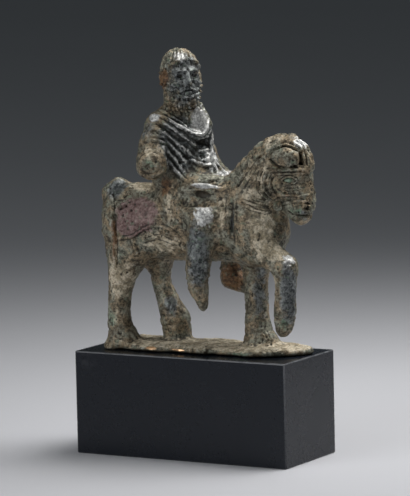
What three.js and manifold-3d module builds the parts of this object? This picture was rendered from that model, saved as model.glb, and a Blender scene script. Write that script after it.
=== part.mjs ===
// Equestrian statuette: a small solid-cast bronze of a bearded, cloaked rider on a walking horse. Horse,
// rider and the thin base plate under the hooves are one casting. It stands on a plain rectangular plinth.
// Millimetres, +Z up. The horse walks towards +X. The origin is the centre of the plinth's underside.
import * as THREE from "three";
import { edgeTable, triTable } from "three/addons/objects/MarchingCubes.js";
import { mergeVertices } from "three/addons/utils/BufferGeometryUtils.js";
import Module from "manifold-3d";

// Driving dimensions
const bronzeHeight = 100; // underside of the base plate to the crown of the rider's head
const basePlateThickness = 2.6; // cast plate under the hooves
const plinthLength = 79.4;
const plinthWidth = 34.3;
const plinthHeight = 34.5;
const plinthChamfer = 0.5; // polished arris on every edge

// Fineness of the faceted surface
const latticeStep = 0.7; // of the sculpted surface, a percentage of the bronze's height
const faceBudget = 9300; // faces kept on the bronze

// The figure is free form: every place and radius below is a percentage of the bronze's height, with x along
// the horse, y towards its left side and z up from the underside of the base plate.
const percent = bronzeHeight / 100;
const plateTop = basePlateThickness / percent;

const rad = THREE.MathUtils.degToRad;
const { clamp, smoothstep, lerp } = THREE.MathUtils;

// Fields: a field gives the distance from a point to a surface, negative inside

function lump([cx, cy, cz], [rx, ry, rz], { turn = 0, pitch = 0 } = {}) {
  // An ellipsoid, pitched about its own y axis and then turned about z.
  const toLocal = new THREE.Matrix3().setFromMatrix4(
    new THREE.Matrix4()
      .makeRotationZ(rad(turn))
      .multiply(new THREE.Matrix4().makeRotationY(rad(pitch)))
      .transpose(),
  ).elements;
  return (x, y, z) => {
    const dx = x - cx;
    const dy = y - cy;
    const dz = z - cz;
    const lx = (toLocal[0] * dx + toLocal[3] * dy + toLocal[6] * dz) / rx;
    const ly = (toLocal[1] * dx + toLocal[4] * dy + toLocal[7] * dz) / ry;
    const lz = (toLocal[2] * dx + toLocal[5] * dy + toLocal[8] * dz) / rz;
    const k = Math.sqrt(lx * lx + ly * ly + lz * lz);
    const slope = Math.sqrt((lx / rx) ** 2 + (ly / ry) ** 2 + (lz / rz) ** 2);
    return slope > 1e-9 ? (k * (k - 1)) / slope : -Math.min(rx, ry, rz);
  };
}

function taper([ax, ay, az, ra], [bx, by, bz, rb]) {
  // A round cone from a to b, the radius changing from ra to rb.
  const ux = bx - ax;
  const uy = by - ay;
  const uz = bz - az;
  const length2 = ux * ux + uy * uy + uz * uz;
  const drop = ra - rb;
  const side2 = length2 - drop * drop;
  return (x, y, z) => {
    const px = x - ax;
    const py = y - ay;
    const pz = z - az;
    const along = px * ux + py * uy + pz * uz;
    const past = along - length2;
    const qx = px * length2 - ux * along;
    const qy = py * length2 - uy * along;
    const qz = pz * length2 - uz * along;
    const off2 = qx * qx + qy * qy + qz * qz;
    const limit = Math.sign(drop) * drop * drop * off2;
    if (Math.sign(past) * side2 * past * past * length2 > limit)
      return Math.sqrt(off2 + past * past * length2) / length2 - rb;
    if (Math.sign(along) * side2 * along * along * length2 < limit)
      return Math.sqrt(off2 + along * along * length2) / length2 - ra;
    return (Math.sqrt((off2 * side2) / length2) + along * drop) / length2 - ra;
  };
}

function blend(k, ...fields) {
  // Joins fields with a fillet of about k.
  return (x, y, z) => {
    let d = fields[0](x, y, z);
    for (let i = 1; i < fields.length; i++) {
      const e = fields[i](x, y, z);
      const h = Math.max(k - Math.abs(d - e), 0);
      d = Math.min(d, e) - (h * h) / (4 * k);
    }
    return d;
  };
}

function limb(stations) {
  // A chain of tapers through stations [x, y, z, radius], along a smooth path.
  const path = new THREE.CatmullRomCurve3(stations.map(([x, y, z]) => new THREE.Vector3(x, y, z)));
  const girth = new THREE.CatmullRomCurve3(stations.map(([, , , r], i) => new THREE.Vector3(i, r, 0)));
  const steps = stations.length > 2 ? (stations.length - 1) * 3 : 1;
  const fine = Array.from({ length: steps + 1 }, (_, i) => [
    ...path.getPoint(i / steps).toArray(),
    girth.getPoint(i / steps).y,
  ]);
  const tapers = fine.slice(1).map((station, i) => taper(fine[i], station));
  const ball = new THREE.Sphere().setFromPoints(fine.map(([x, y, z]) => new THREE.Vector3(x, y, z)));
  const reach = ball.radius + Math.max(...fine.map(([, , , r]) => r));
  return near(ball.center.toArray(), reach, (x, y, z) => {
    let d = Infinity;
    for (const one of tapers) d = Math.min(d, one(x, y, z));
    return d;
  });
}

function carve(k, field, ...cuts) {
  // Takes the cuts out of the field, with a rounding of about k.
  return (x, y, z) => {
    let d = field(x, y, z);
    for (const cut of cuts) {
      const e = -cut(x, y, z);
      const h = Math.max(k - Math.abs(d - e), 0);
      d = Math.max(d, e) + (h * h) / (4 * k);
    }
    return d;
  };
}

function within(k, field, limit) {
  // Keeps what lies inside the limit too.
  return carve(k, field, (x, y, z) => -limit(x, y, z));
}

function relief(field, height) {
  // Raises the surface by height(x, y, z).
  return (x, y, z) => {
    const d = field(x, y, z);
    return Math.abs(d) > 3 ? d : d - height(x, y, z);
  };
}

function squash(field, about, factor) {
  // Scales a field across the plane y = about by a factor under 1.
  return (x, y, z) => field(x, about + (y - about) / factor, z) * factor;
}

function near([cx, cy, cz], radius, field) {
  // Well outside the ball that holds the field, the distance to the ball will do.
  return (x, y, z) => {
    const d = Math.sqrt((x - cx) ** 2 + (y - cy) ** 2 + (z - cz) ** 2) - radius;
    return d > 5 ? d : field(x, y, z);
  };
}

function levelAt(points, x) {
  // Height of a line through [x, z] points, level beyond its ends.
  const last = points.length - 1;
  if (x <= points[0][0]) return points[0][1];
  if (x >= points[last][0]) return points[last][1];
  const i = points.findIndex((point) => point[0] > x);
  const [[x0, z0], [x1, z1]] = [points[i - 1], points[i]];
  return lerp(z0, z1, smoothstep(x, x0, x1));
}

function strap(points, width) {
  // Seen from the side, how near (x, z) is to a line through [x, z] points: 1 on it, 0 at its edge.
  return (x, z) => {
    let near2 = Infinity;
    for (let i = 1; i < points.length; i++) {
      const [[x0, z0], [x1, z1]] = [points[i - 1], points[i]];
      const dx = x1 - x0;
      const dz = z1 - z0;
      const t = clamp(((x - x0) * dx + (z - z0) * dz) / (dx * dx + dz * dz), 0, 1);
      near2 = Math.min(near2, (x - x0 - t * dx) ** 2 + (z - z0 - t * dz) ** 2);
    }
    return Math.max(0, 1 - near2 / (width * width));
  };
}

const mirrored = (field) => (x, y, z) => field(x, -y, z);
const halfSpace = (nx, ny, nz, offset) => {
  const n = Math.hypot(nx, ny, nz);
  return (x, y, z) => (nx * x + ny * y + nz * z) / n - offset / n;
};
const strokes = (phase) => 1 - 2 * Math.abs(Math.sin(phase)); // sharp ridges between round furrows
const folds = (phase) => 2 * Math.abs(Math.sin(phase)) - 1; // round ridges between sharp furrows

// Rider's own frame: he is turned to his right, so a point is given by [left, forward, up] from his spine
const riderTurn = -37;
const spine = [-6.2, -0.8];
const forward = [Math.cos(rad(riderTurn)), Math.sin(rad(riderTurn))];
const left = [-forward[1], forward[0]];

function fromRider([l, f, up, ...rest]) {
  return [
    spine[0] + l * left[0] + f * forward[0],
    spine[1] + l * left[1] + f * forward[1],
    up,
    ...rest,
  ];
}
const toLeft = (x, y) => (x - spine[0]) * left[0] + (y - spine[1]) * left[1];
const toFront = (x, y) => (x - spine[0]) * forward[0] + (y - spine[1]) * forward[1];
const riderLump = (at, [rl, rf, rz], pitch = 0) =>
  lump(fromRider(at), [rf, rl, rz], { turn: riderTurn, pitch });
const riderLimb = (stations) => limb(stations.map(fromRider));

// Horse

function horseBody() {
  const barrel = squash(limb([[-24, 0, 41.5, 11], [-6, 0, 40.8, 11.2], [16, 0, 42.5, 12]]), 0, 0.82);
  const rump = lump([-25, 0, 42.6], [11, 9.6, 10.6]);
  const chest = lump([21.5, 0, 41], [11, 9.4, 11.5]);
  const withers = squash(limb([[-2, 0, 46, 7.5], [14, 0, 48.5, 8.5]]), 0, 0.8);
  const loin = squash(limb([[-22, 0, 43.2, 8.6], [-11, 0, 44.8, 9]]), 0, 0.8);
  return blend(3.5, barrel, rump, chest, withers, loin);
}

function neck() {
  const column = limb([[14, 0, 43.5, 11], [20, 0, 52, 10.6], [26, 0, 60, 9], [30.5, 0, 64, 7.8]]);
  return squash(column, 0, 0.76);
}

function horseHead() {
  const skull = squash(limb([[32, 0, 64, 7.4], [36, 0, 57.5, 6], [37.4, 0, 50.6, 4.9]]), 0, 0.76);
  const muzzle = lump([37.9, 0, 48.6], [4.4, 3.9, 4.8]);
  const jowl = lump([30.6, 0, 57.4], [6.9, 6.2, 7]);
  const lowerJaw = squash(limb([[31.5, 0, 52.5, 3.8], [37.2, 0, 45.8, 2.7]]), 0, 0.85);
  const bare = blend(1.6, skull, muzzle, jowl, lowerJaw);
  const browband = strap([[27, 61.6], [43, 61.2]], 1.2);
  const noseband = [strap([[33.4, 50], [44, 51.4]], 0.8), strap([[33.6, 53], [44, 53.6]], 0.8)];
  const dressed = relief(bare, (x, y, z) => {
    const fromJowl = Math.hypot(x - 30.8, z - 57.2);
    const behind = smoothstep(-(x - 30.8) - (z - 57.2) * 0.5, 1, 5);
    const arcs = 0.4 * strokes(fromJowl * 1.65) * behind * smoothstep(fromJowl, 4.4, 5.4);
    return arcs + 0.55 * browband(x, z) + 0.45 * Math.max(noseband[0](x, z), noseband[1](x, z));
  });
  const mouth = strap([[35.4, 46.5], [44, 47.4]], 0.5);
  const slit = relief(dressed, (x, y, z) => -0.8 * mouth(x, z));
  const socket = lump([36.2, -5.2, 58.4], [3.5, 1.6, 2.1], { pitch: -4 });
  const eye = lump([36.1, -3.9, 58.1], [2.5, 1.15, 1.2], { pitch: -4 });
  const nostril = lump([41.4, -3, 49.4], [1.1, 1.3, 1.1]);
  const knob = lump([32, -4.9, 49.6], [1.5, 1.2, 1.7]);
  const sides = (field) => [field, mirrored(field)];
  const cut = carve(0.8, slit, ...sides(socket), ...sides(nostril));
  return near([35, 0, 56], 19, blend(0.5, cut, ...sides(eye), ...sides(knob)));
}

function ear(head) {
  // Laid back flat: a long leaf on each side of the head, outlined by a groove.
  const root = [39.6, 64];
  const tip = [28, 67.4];
  const length = Math.hypot(tip[0] - root[0], tip[1] - root[1]);
  const along = [(tip[0] - root[0]) / length, (tip[1] - root[1]) / length];
  return relief(head, (x, y, z) => {
    const u = ((x - root[0]) * along[0] + (z - root[1]) * along[1]) / length;
    const v = (x - root[0]) * along[1] - (z - root[1]) * along[0];
    const halfWidth = u > 0 && u < 1 ? 3.3 * Math.sqrt((1 - u) * 1.5) * Math.sqrt(1 - (1 - u) ** 6) : -1;
    const inside = Math.min(halfWidth - Math.abs(v), u * length, (1 - u) * length);
    const side = smoothstep(Math.abs(y), 1.5, 3);
    return side * (1.1 * smoothstep(inside, -0.1, 0.7) - 0.7 * Math.max(0, 1 - Math.abs(inside + 0.6)));
  });
}

function mane() {
  // A roached crest from the withers over the poll to the brow, scored across by strokes.
  const crest = limb(
    [
      [12, 0, 50.4, 3.4],
      [17, 0, 57, 4],
      [22.3, 0, 62.4, 4.2],
      [28.4, 0, 67.4, 4.4],
      [33.3, 0, 68.3, 4.6],
      [36.5, 0, 66, 4.5],
      [39.2, 0, 62.6, 3.3],
    ],
  );
  const middle = [26, 52]; // the strokes fan out from the middle of the neck
  return relief(squash(crest, 0, 0.86), (x, y, z) => {
    const around = Math.atan2(z - middle[1], x - middle[0]);
    return 0.3 * strokes(around * 11 + y * 0.12);
  });
}

function tail() {
  // Bound into a knob at the dock, then falling straight down the back of the near leg.
  const knob = limb([[-31.2, 0, 53.2, 3.4], [-33.6, -0.4, 51.8, 3.2]]);
  const fall = limb([[-34, -0.6, 51, 3], [-33.6, -1.6, 38, 2.2], [-32, -2.8, 24, 1.9], [-31.4, -4, 8, 2.2]]);
  return near([-33, -2, 30], 26, blend(1.2, knob, fall));
}

function legs() {
  const foot = plateTop;
  const nearHind = blend(
    4,
    lump([-24.5, -4.6, 38], [9, 5.6, 12], { pitch: 8 }),
    limb([[-26, -5.2, 30, 5.6], [-28.4, -5.4, 19, 3.9], [-29, -5.4, 10, 3.8], [-28.4, -5.4, foot, 4.6]]),
    limb([[-26, -5.4, foot + 0.6, 3.2], [-23.6, -5.4, foot, 2.4]]),
  );
  const farHind = blend(
    3,
    lump([-22, 4.6, 38], [9.5, 5.6, 12], { pitch: 14 }),
    limb([[-19, 5, 30, 5], [-18.6, 5, 22, 3.1], [-15.6, 5, 14, 3.9], [-13.4, 5, 8.5, 4.4]]),
    limb([[-13.4, 5, 8.5, 4.4], [-12.6, 5, foot, 4.6]]),
  );
  const standing = blend(
    4,
    lump([19, 4.6, 36], [6.5, 4.6, 9]),
    limb([[18.1, 4, 29, 4.3], [18.2, 4, 18, 3.9], [18.5, 4, 10, 4.1], [19, 4, foot, 4.9]]),
    limb([[20, 4, foot + 0.8, 3.6], [23.4, 4, foot, 2.8]]),
  );
  const shin = [
    [35, -6, 29.4, 3.8],
    [34.6, -6, 21, 3.4],
    [34.4, -6, 15.6, 3.8],
    [33.8, -6, 10.6, 3.1],
    [33.6, -6, 8.9, 2.2],
  ];
  const raised = blend(
    3,
    lump([22, -5, 37.5], [7, 4.4, 7.5], { pitch: 25 }),
    limb([[24, -5.6, 36.4, 5], [34.2, -6, 30.6, 3.9]]),
    limb(shin),
  );
  return blend(
    2,
    near([-26, -5, 24], 27, nearHind),
    near([-19, 5, 24], 27, farHind),
    near([19, 4, 22], 24, standing),
    near([27, -5, 24], 24, raised),
  );
}

function saddleCloth(body) {
  // A cloth from the croup to the withers; its hem stands proud of the flanks.
  const hem = [[-30, 38], [-20, 38], [-15, 41.6], [-8, 40.8], [-3, 37.4], [4, 36.6], [17, 38]];
  const covered = (x, y, z) => Math.max(levelAt(hem, x) - z, x - 17 + Math.max(z - 45, 0), -33 - x);
  return within(0.5, relief(body, () => 0.8), covered);
}

// Rider

function torso() {
  const trunk = blend(
    3,
    riderLump([-0.6, -0.2, 69.5], [8.6, 6.3, 11]),
    riderLump([-0.6, -0.4, 58], [9, 7, 9]),
    riderLimb([[-7.2, 0, 75.4, 4.6], [-2, -0.6, 78, 4.4], [5.2, 0, 75.8, 4.3]]),
  );
  const back = riderLump([0, -3.2, 62], [9.6, 5.4, 16]);
  // Folds of the cloak sweep from the pin on the right shoulder down and across to the left arm.
  const pin = [-11.2, 80];
  const reach = 16.7;
  const vDrop = 8.5; // how far the neckline hangs below the pin
  return relief(blend(2, trunk, back), (x, y, z) => {
    const l = toLeft(x, y);
    const across = clamp((l - pin[0]) / reach, 0.02, 1.1);
    const below = pin[1] - z - vDrop * across ** 0.62;
    const front = smoothstep(toFront(x, y), -3, 1);
    const sweep = 0.5 * folds((below / lerp(2.8, 4.4, across)) * Math.PI) * smoothstep(below, -0.5, 1);
    const hanging = 0.45 * folds(l * 0.72 + 0.5) * smoothstep(78 - z, 0, 8);
    return lerp(hanging, sweep * smoothstep(across, 0.1, 0.5), front);
  });
}

function cloakRoll() {
  // The cloak's edge: round the neck, over the left shoulder, down to a point on the chest and back up.
  const loop = riderLimb(
    [
      [-2, -4.6, 80.6, 1.9],
      [3.2, -3.4, 81.4, 2],
      [5.2, 0.4, 80.6, 2],
      [6.9, 3.8, 76.4, 1.9],
      [6.3, 6, 72.4, 1.5],
      [4.4, 6.6, 71.4, 1.3],
      [-1.1, 6.4, 73.6, 1.1],
      [-6.6, 4.8, 76.4, 1.1],
      [-9.4, 1.4, 79, 1.1],
    ],
  );
  const bib = riderLump([4.2, 4, 76.4], [3.4, 2.4, 5.2]);
  return near([-4.6, -1, 76], 15, blend(0.8, loop, bib));
}

function leftArm() {
  // Under the cloak, the hand resting on the withers with the reins.
  const upperArm = limb([[-2.4, 4.2, 73.5, 4.2], [-1, 5.4, 63.5, 3.6]]);
  const forearm = limb([[-1, 5.4, 63.5, 3.6], [5, 4.6, 59, 2.9], [10.4, 2.4, 56, 2.6]]);
  const arm = blend(2, upperArm, forearm);
  const draped = relief(arm, (x, y, z) => 0.4 * folds((x * 0.7 + z) * 0.72));
  const lap = riderLump([5.4, 4.2, 60], [4.2, 4.4, 7.5]);
  const edge = riderLimb(
    [[7.6, 4.6, 75, 1], [8.4, 5, 66, 1.1], [9.2, 7, 61.4, 1.2], [11.2, 11.4, 57, 1.2]],
  );
  return near([1, 3, 65], 20, blend(1.2, draped, lap, edge));
}

function rightArm() {
  // The sleeve ends above the elbow; the forearm is broken off short, its break facing out.
  const sleeve = limb([[-11.3, -7.4, 74.6, 4.4], [-11.6, -9.6, 69.4, 4.4]]);
  const hem = limb([[-11.8, -9.8, 68.2, 4.9], [-11.7, -10.2, 67.7, 4.8]]);
  const stump = limb([[-11.8, -10.2, 66, 4.8], [-10.6, -13, 62.9, 5.2], [-10, -14.6, 62.5, 4.6]]);
  const broken = relief(halfSpace(0.5, -0.86, -0.1, 1.3), (x, y, z) =>
    0.35 * Math.sin(x * 1.5 + z * 0.9) * Math.cos(z * 1.3),
  );
  const arm = blend(0.6, sleeve, hem, within(0.7, stump, (x, y, z) => broken(x + 9.6, y + 16.2, z - 62.4)));
  return near([-11, -10.5, 69], 14, arm);
}

function lowerBody() {
  const rightLeg = blend(
    1,
    limb([[-6, -4.5, 50.4, 6.2], [6.4, -9.4, 45.4, 5], [6.2, -11.2, 38, 4.4]]),
    limb([[6.2, -11.2, 38, 4.4], [5.6, -12, 30.5, 4.3], [5.2, -12, 23.5, 3.4]]),
    limb([[5.6, -12, 22.8, 3.3], [7.4, -12.2, 16.4, 1.7]]),
  );
  const leftLeg = blend(
    1,
    limb([[-5, 4.5, 50.4, 6.4], [8, 9, 45, 5], [6.6, 10.6, 35, 4], [4.4, 11.4, 25, 3.5]]),
    limb([[4.8, 11.4, 22.8, 3.8], [10.2, 11.4, 20.4, 2.6]]),
  );
  // The tunic's skirt spreads over the lap; its hem stands out over a hollow above each thigh.
  const skirt = lump([2.6, -3.4, 55.8], [9.4, 6.4, 3.8]);
  const hem = limb([[-3.4, -9.8, 53.8, 0.9], [1, -9.6, 54.7, 1.2], [11.4, -7.2, 54.6, 1.2]]);
  const hollow = limb([[0.8, -12, 50.8, 2.2], [9, -10.4, 51.2, 2.2]]);
  const thighs = blend(2, near([2, -9, 38], 27, rightLeg), near([2, 9, 38], 25, leftLeg));
  const dressed = carve(0.7, thighs, hollow, mirrored(hollow));
  const spread = blend(1.6, dressed, skirt, mirrored(skirt));
  return blend(0.8, spread, hem, mirrored(hem));
}

function riderHead() {
  // Calm, regular features on the usual thirds, with a short full beard and hair combed forward.
  const skull = riderLump([0, -0.2, 92.6], [5.9, 6.5, 6.9]);
  const face = riderLump([0, 1.9, 88.8], [5.3, 4.8, 6.8]);
  const throat = riderLimb([[-0.4, -1.2, 76, 4.8], [-0.6, -1, 85, 4.5]]);
  const brow = riderLimb([[-3.4, 5, 93, 0.9], [0, 6.1, 92.8, 0.8], [3.4, 5, 93, 0.9]]);
  const nose = riderLimb([[0, 6.1, 92, 0.6], [0, 7.4, 89, 1.05]]);
  const cheeks = [-1, 1].map((s) => riderLump([s * 2.9, 4.3, 89], [1.8, 1.7, 1.8]));
  const sockets = [-1, 1].map((s) => riderLump([s * 2.4, 6.7, 91.2], [1.6, 1.5, 1.05]));
  const eyes = [-1, 1].map((s) => riderLump([s * 2.35, 4.95, 91.1], [1.3, 1.1, 0.85]));
  const ears = [-1, 1].map((s) => riderLump([s * 6, 0.2, 90.2], [0.8, 1.4, 2]));
  const beardMass = blend(
    1,
    riderLump([0, 2.9, 84.8], [5.1, 4.5, 5]),
    ...[-1, 1].map((s) => riderLimb([[s * 5.4, 1.2, 90.6, 0.9], [s * 4.6, 2.4, 86.6, 1.8]])),
  );
  const beard = relief(beardMass, (x, y, z) => 0.34 * Math.sin(toLeft(x, y) * 2.9) * Math.sin(z * 2.7 + 1));
  const mouth = riderLimb([[-1.8, 7, 86.3, 0.4], [0, 7.9, 86.5, 0.4], [1.8, 7, 86.3, 0.4]]);
  const moustache = [-1, 1].map((s) => riderLimb([[s * 0.4, 6.7, 87.6, 0.7], [s * 2.6, 6, 86.5, 0.65]]));
  const carved = carve(0.6, blend(1.2, skull, face, ...cheeks), ...sockets);
  const features = blend(0.6, carved, brow, nose, ...eyes, ...ears, ...moustache);
  const behind = [0.69, -0.72]; // the hair lies behind a plane that slopes back from the forehead
  const cap = within(
    0.6,
    relief(riderLump([-0.1, -0.4, 93.1], [6.2, 6.8, 7.1]), (x, y, z) => {
      const around = Math.atan2(toLeft(x, y), toFront(x, y) + 1.5);
      return 0.34 * strokes(around * 6 + z * 0.25);
    }),
    (x, y, z) => behind[0] * (toFront(x, y) - 5.9) + behind[1] * (z - 96),
  );
  const nape = riderLimb([[-0.6, -2.6, 89, 4.2], [-0.8, -2.2, 82, 3.4]]);
  const head = blend(0.5, carve(0.3, blend(0.9, features, beard, throat), mouth), cap, nape);
  return near([-6, -1, 90], 13, head);
}

// Base plate: a thin cast slab with an uneven outline, thicker under the hooves

function basePlate() {
  const outline = (x, y) => {
    const wavy = 0.8 * Math.sin(x * 0.33 + 0.5) + 0.5 * Math.sin(x * 0.71 + y * 0.2);
    const frontEnd = x - 38.5 + 0.055 * (y - 4.5) ** 2;
    const alongEnd = Math.max(frontEnd, -35.2 - x + 0.03 * (y + 2) ** 2);
    const across = Math.abs(y - 0.2 - 0.02 * x) - 11 - wavy + smoothstep(x, 24, 38) * 3;
    const h = Math.max(4 - Math.abs(alongEnd - across), 0);
    return Math.max(alongEnd, across) + (h * h) / 16;
  };
  const bow = (x, y) => 0.25 * Math.sin(x * 0.21 + 1) + 0.2 * Math.sin(y * 0.5 + x * 0.13);
  return (x, y, z) => {
    const across = outline(x, y);
    const up = z - plateTop - bow(x, y) * 0.8 + smoothstep(across, -3, 0) * 0.5;
    const h = Math.max(1.4 - Math.abs(up - across), 0);
    return Math.max(up, across) + (h * h) / 5.6;
  };
}

function statuette() {
  const body = blend(3, horseBody(), neck());
  const crested = ear(blend(1.2, horseHead(), mane()));
  const horse = blend(1.6, blend(2.2, body, legs()), saddleCloth(body), crested, tail());
  const upperBody = near([-4, 0, 67], 23, blend(0.9, torso(), cloakRoll(), leftArm()));
  const mounted = blend(2.6, horse, lowerBody());
  const rider = blend(1.1, upperBody, rightArm(), riderHead());
  const whole = blend(1.6, mounted, rider, basePlate());
  return (x, y, z) => Math.max(whole(x, y, z), -z - 1.4);
}

// Surface of a field: marching cubes over the blocks of the lattice that the surface crosses

function surfaceOf(field, low, high, step) {
  const [nx, ny, nz] = [0, 1, 2].map((i) => Math.ceil((high[i] - low[i]) / step) + 1);
  const values = new Float32Array(nx * ny * nz).fill(1);
  const at = (i, j, k) => i + nx * (j + ny * k);
  const block = 6;
  const reach = step * block;
  const known = new Uint8Array(values.length);
  for (let k = 0; k < nz - 1; k += block)
    for (let j = 0; j < ny - 1; j += block)
      for (let i = 0; i < nx - 1; i += block) {
        const middle = field(
          low[0] + (i + block / 2) * step,
          low[1] + (j + block / 2) * step,
          low[2] + (k + block / 2) * step,
        );
        const crossed = Math.abs(middle) < reach * 1.3;
        for (let c = k; c <= Math.min(k + block, nz - 1); c++)
          for (let b = j; b <= Math.min(j + block, ny - 1); b++)
            for (let a = i; a <= Math.min(i + block, nx - 1); a++) {
              const n = at(a, b, c);
              if (known[n]) continue;
              if (crossed) {
                const d = field(low[0] + a * step, low[1] + b * step, low[2] + c * step);
                values[n] = Math.abs(d) < 1e-4 ? 1e-4 : d;
                known[n] = 1;
              } else values[n] = middle < 0 ? -1 : 1;
            }
      }

  const corners = [[0, 0, 0], [1, 0, 0], [1, 1, 0], [0, 1, 0], [0, 0, 1], [1, 0, 1], [1, 1, 1], [0, 1, 1]];
  const rims = [0, 4].map((c) => [[c, c + 1], [c + 1, c + 2], [c + 3, c + 2], [c, c + 3]]).flat();
  const edges = [...rims, [0, 4], [1, 5], [2, 6], [3, 7]];
  const points = [];
  const faces = [];
  const made = new Map(); // lattice edge to the vertex on it
  const vertexOn = (i, j, k, edge) => {
    const [s, e] = edges[edge].map((c) => corners[c]);
    const axis = s[0] !== e[0] ? 0 : s[1] !== e[1] ? 1 : 2;
    const n = at(i + s[0], j + s[1], k + s[2]);
    const key = n * 3 + axis;
    let vertex = made.get(key);
    if (vertex === undefined) {
      const v0 = values[n];
      const v1 = values[at(i + e[0], j + e[1], k + e[2])];
      const point = [i + s[0], j + s[1], k + s[2]];
      point[axis] += clamp(v0 / (v0 - v1), 0.02, 0.98);
      vertex = points.length;
      points.push(point.map((c, m) => low[m] + c * step));
      made.set(key, vertex);
    }
    return vertex;
  };
  for (let k = 0; k < nz - 1; k++)
    for (let j = 0; j < ny - 1; j++)
      for (let i = 0; i < nx - 1; i++) {
        let index = 0;
        corners.forEach(([a, b, c], bit) => {
          if (values[at(i + a, j + b, k + c)] > 0) index |= 1 << bit;
        });
        if (edgeTable[index] === 0) continue;
        for (let t = index * 16; triTable[t] !== -1; t += 3)
          faces.push([0, 1, 2].map((m) => vertexOn(i, j, k, triTable[t + m])));
      }
  return { points, faces };
}

// Fewer faces: the cheapest edge is closed first, by the squared distance to the planes it stood for

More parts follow.
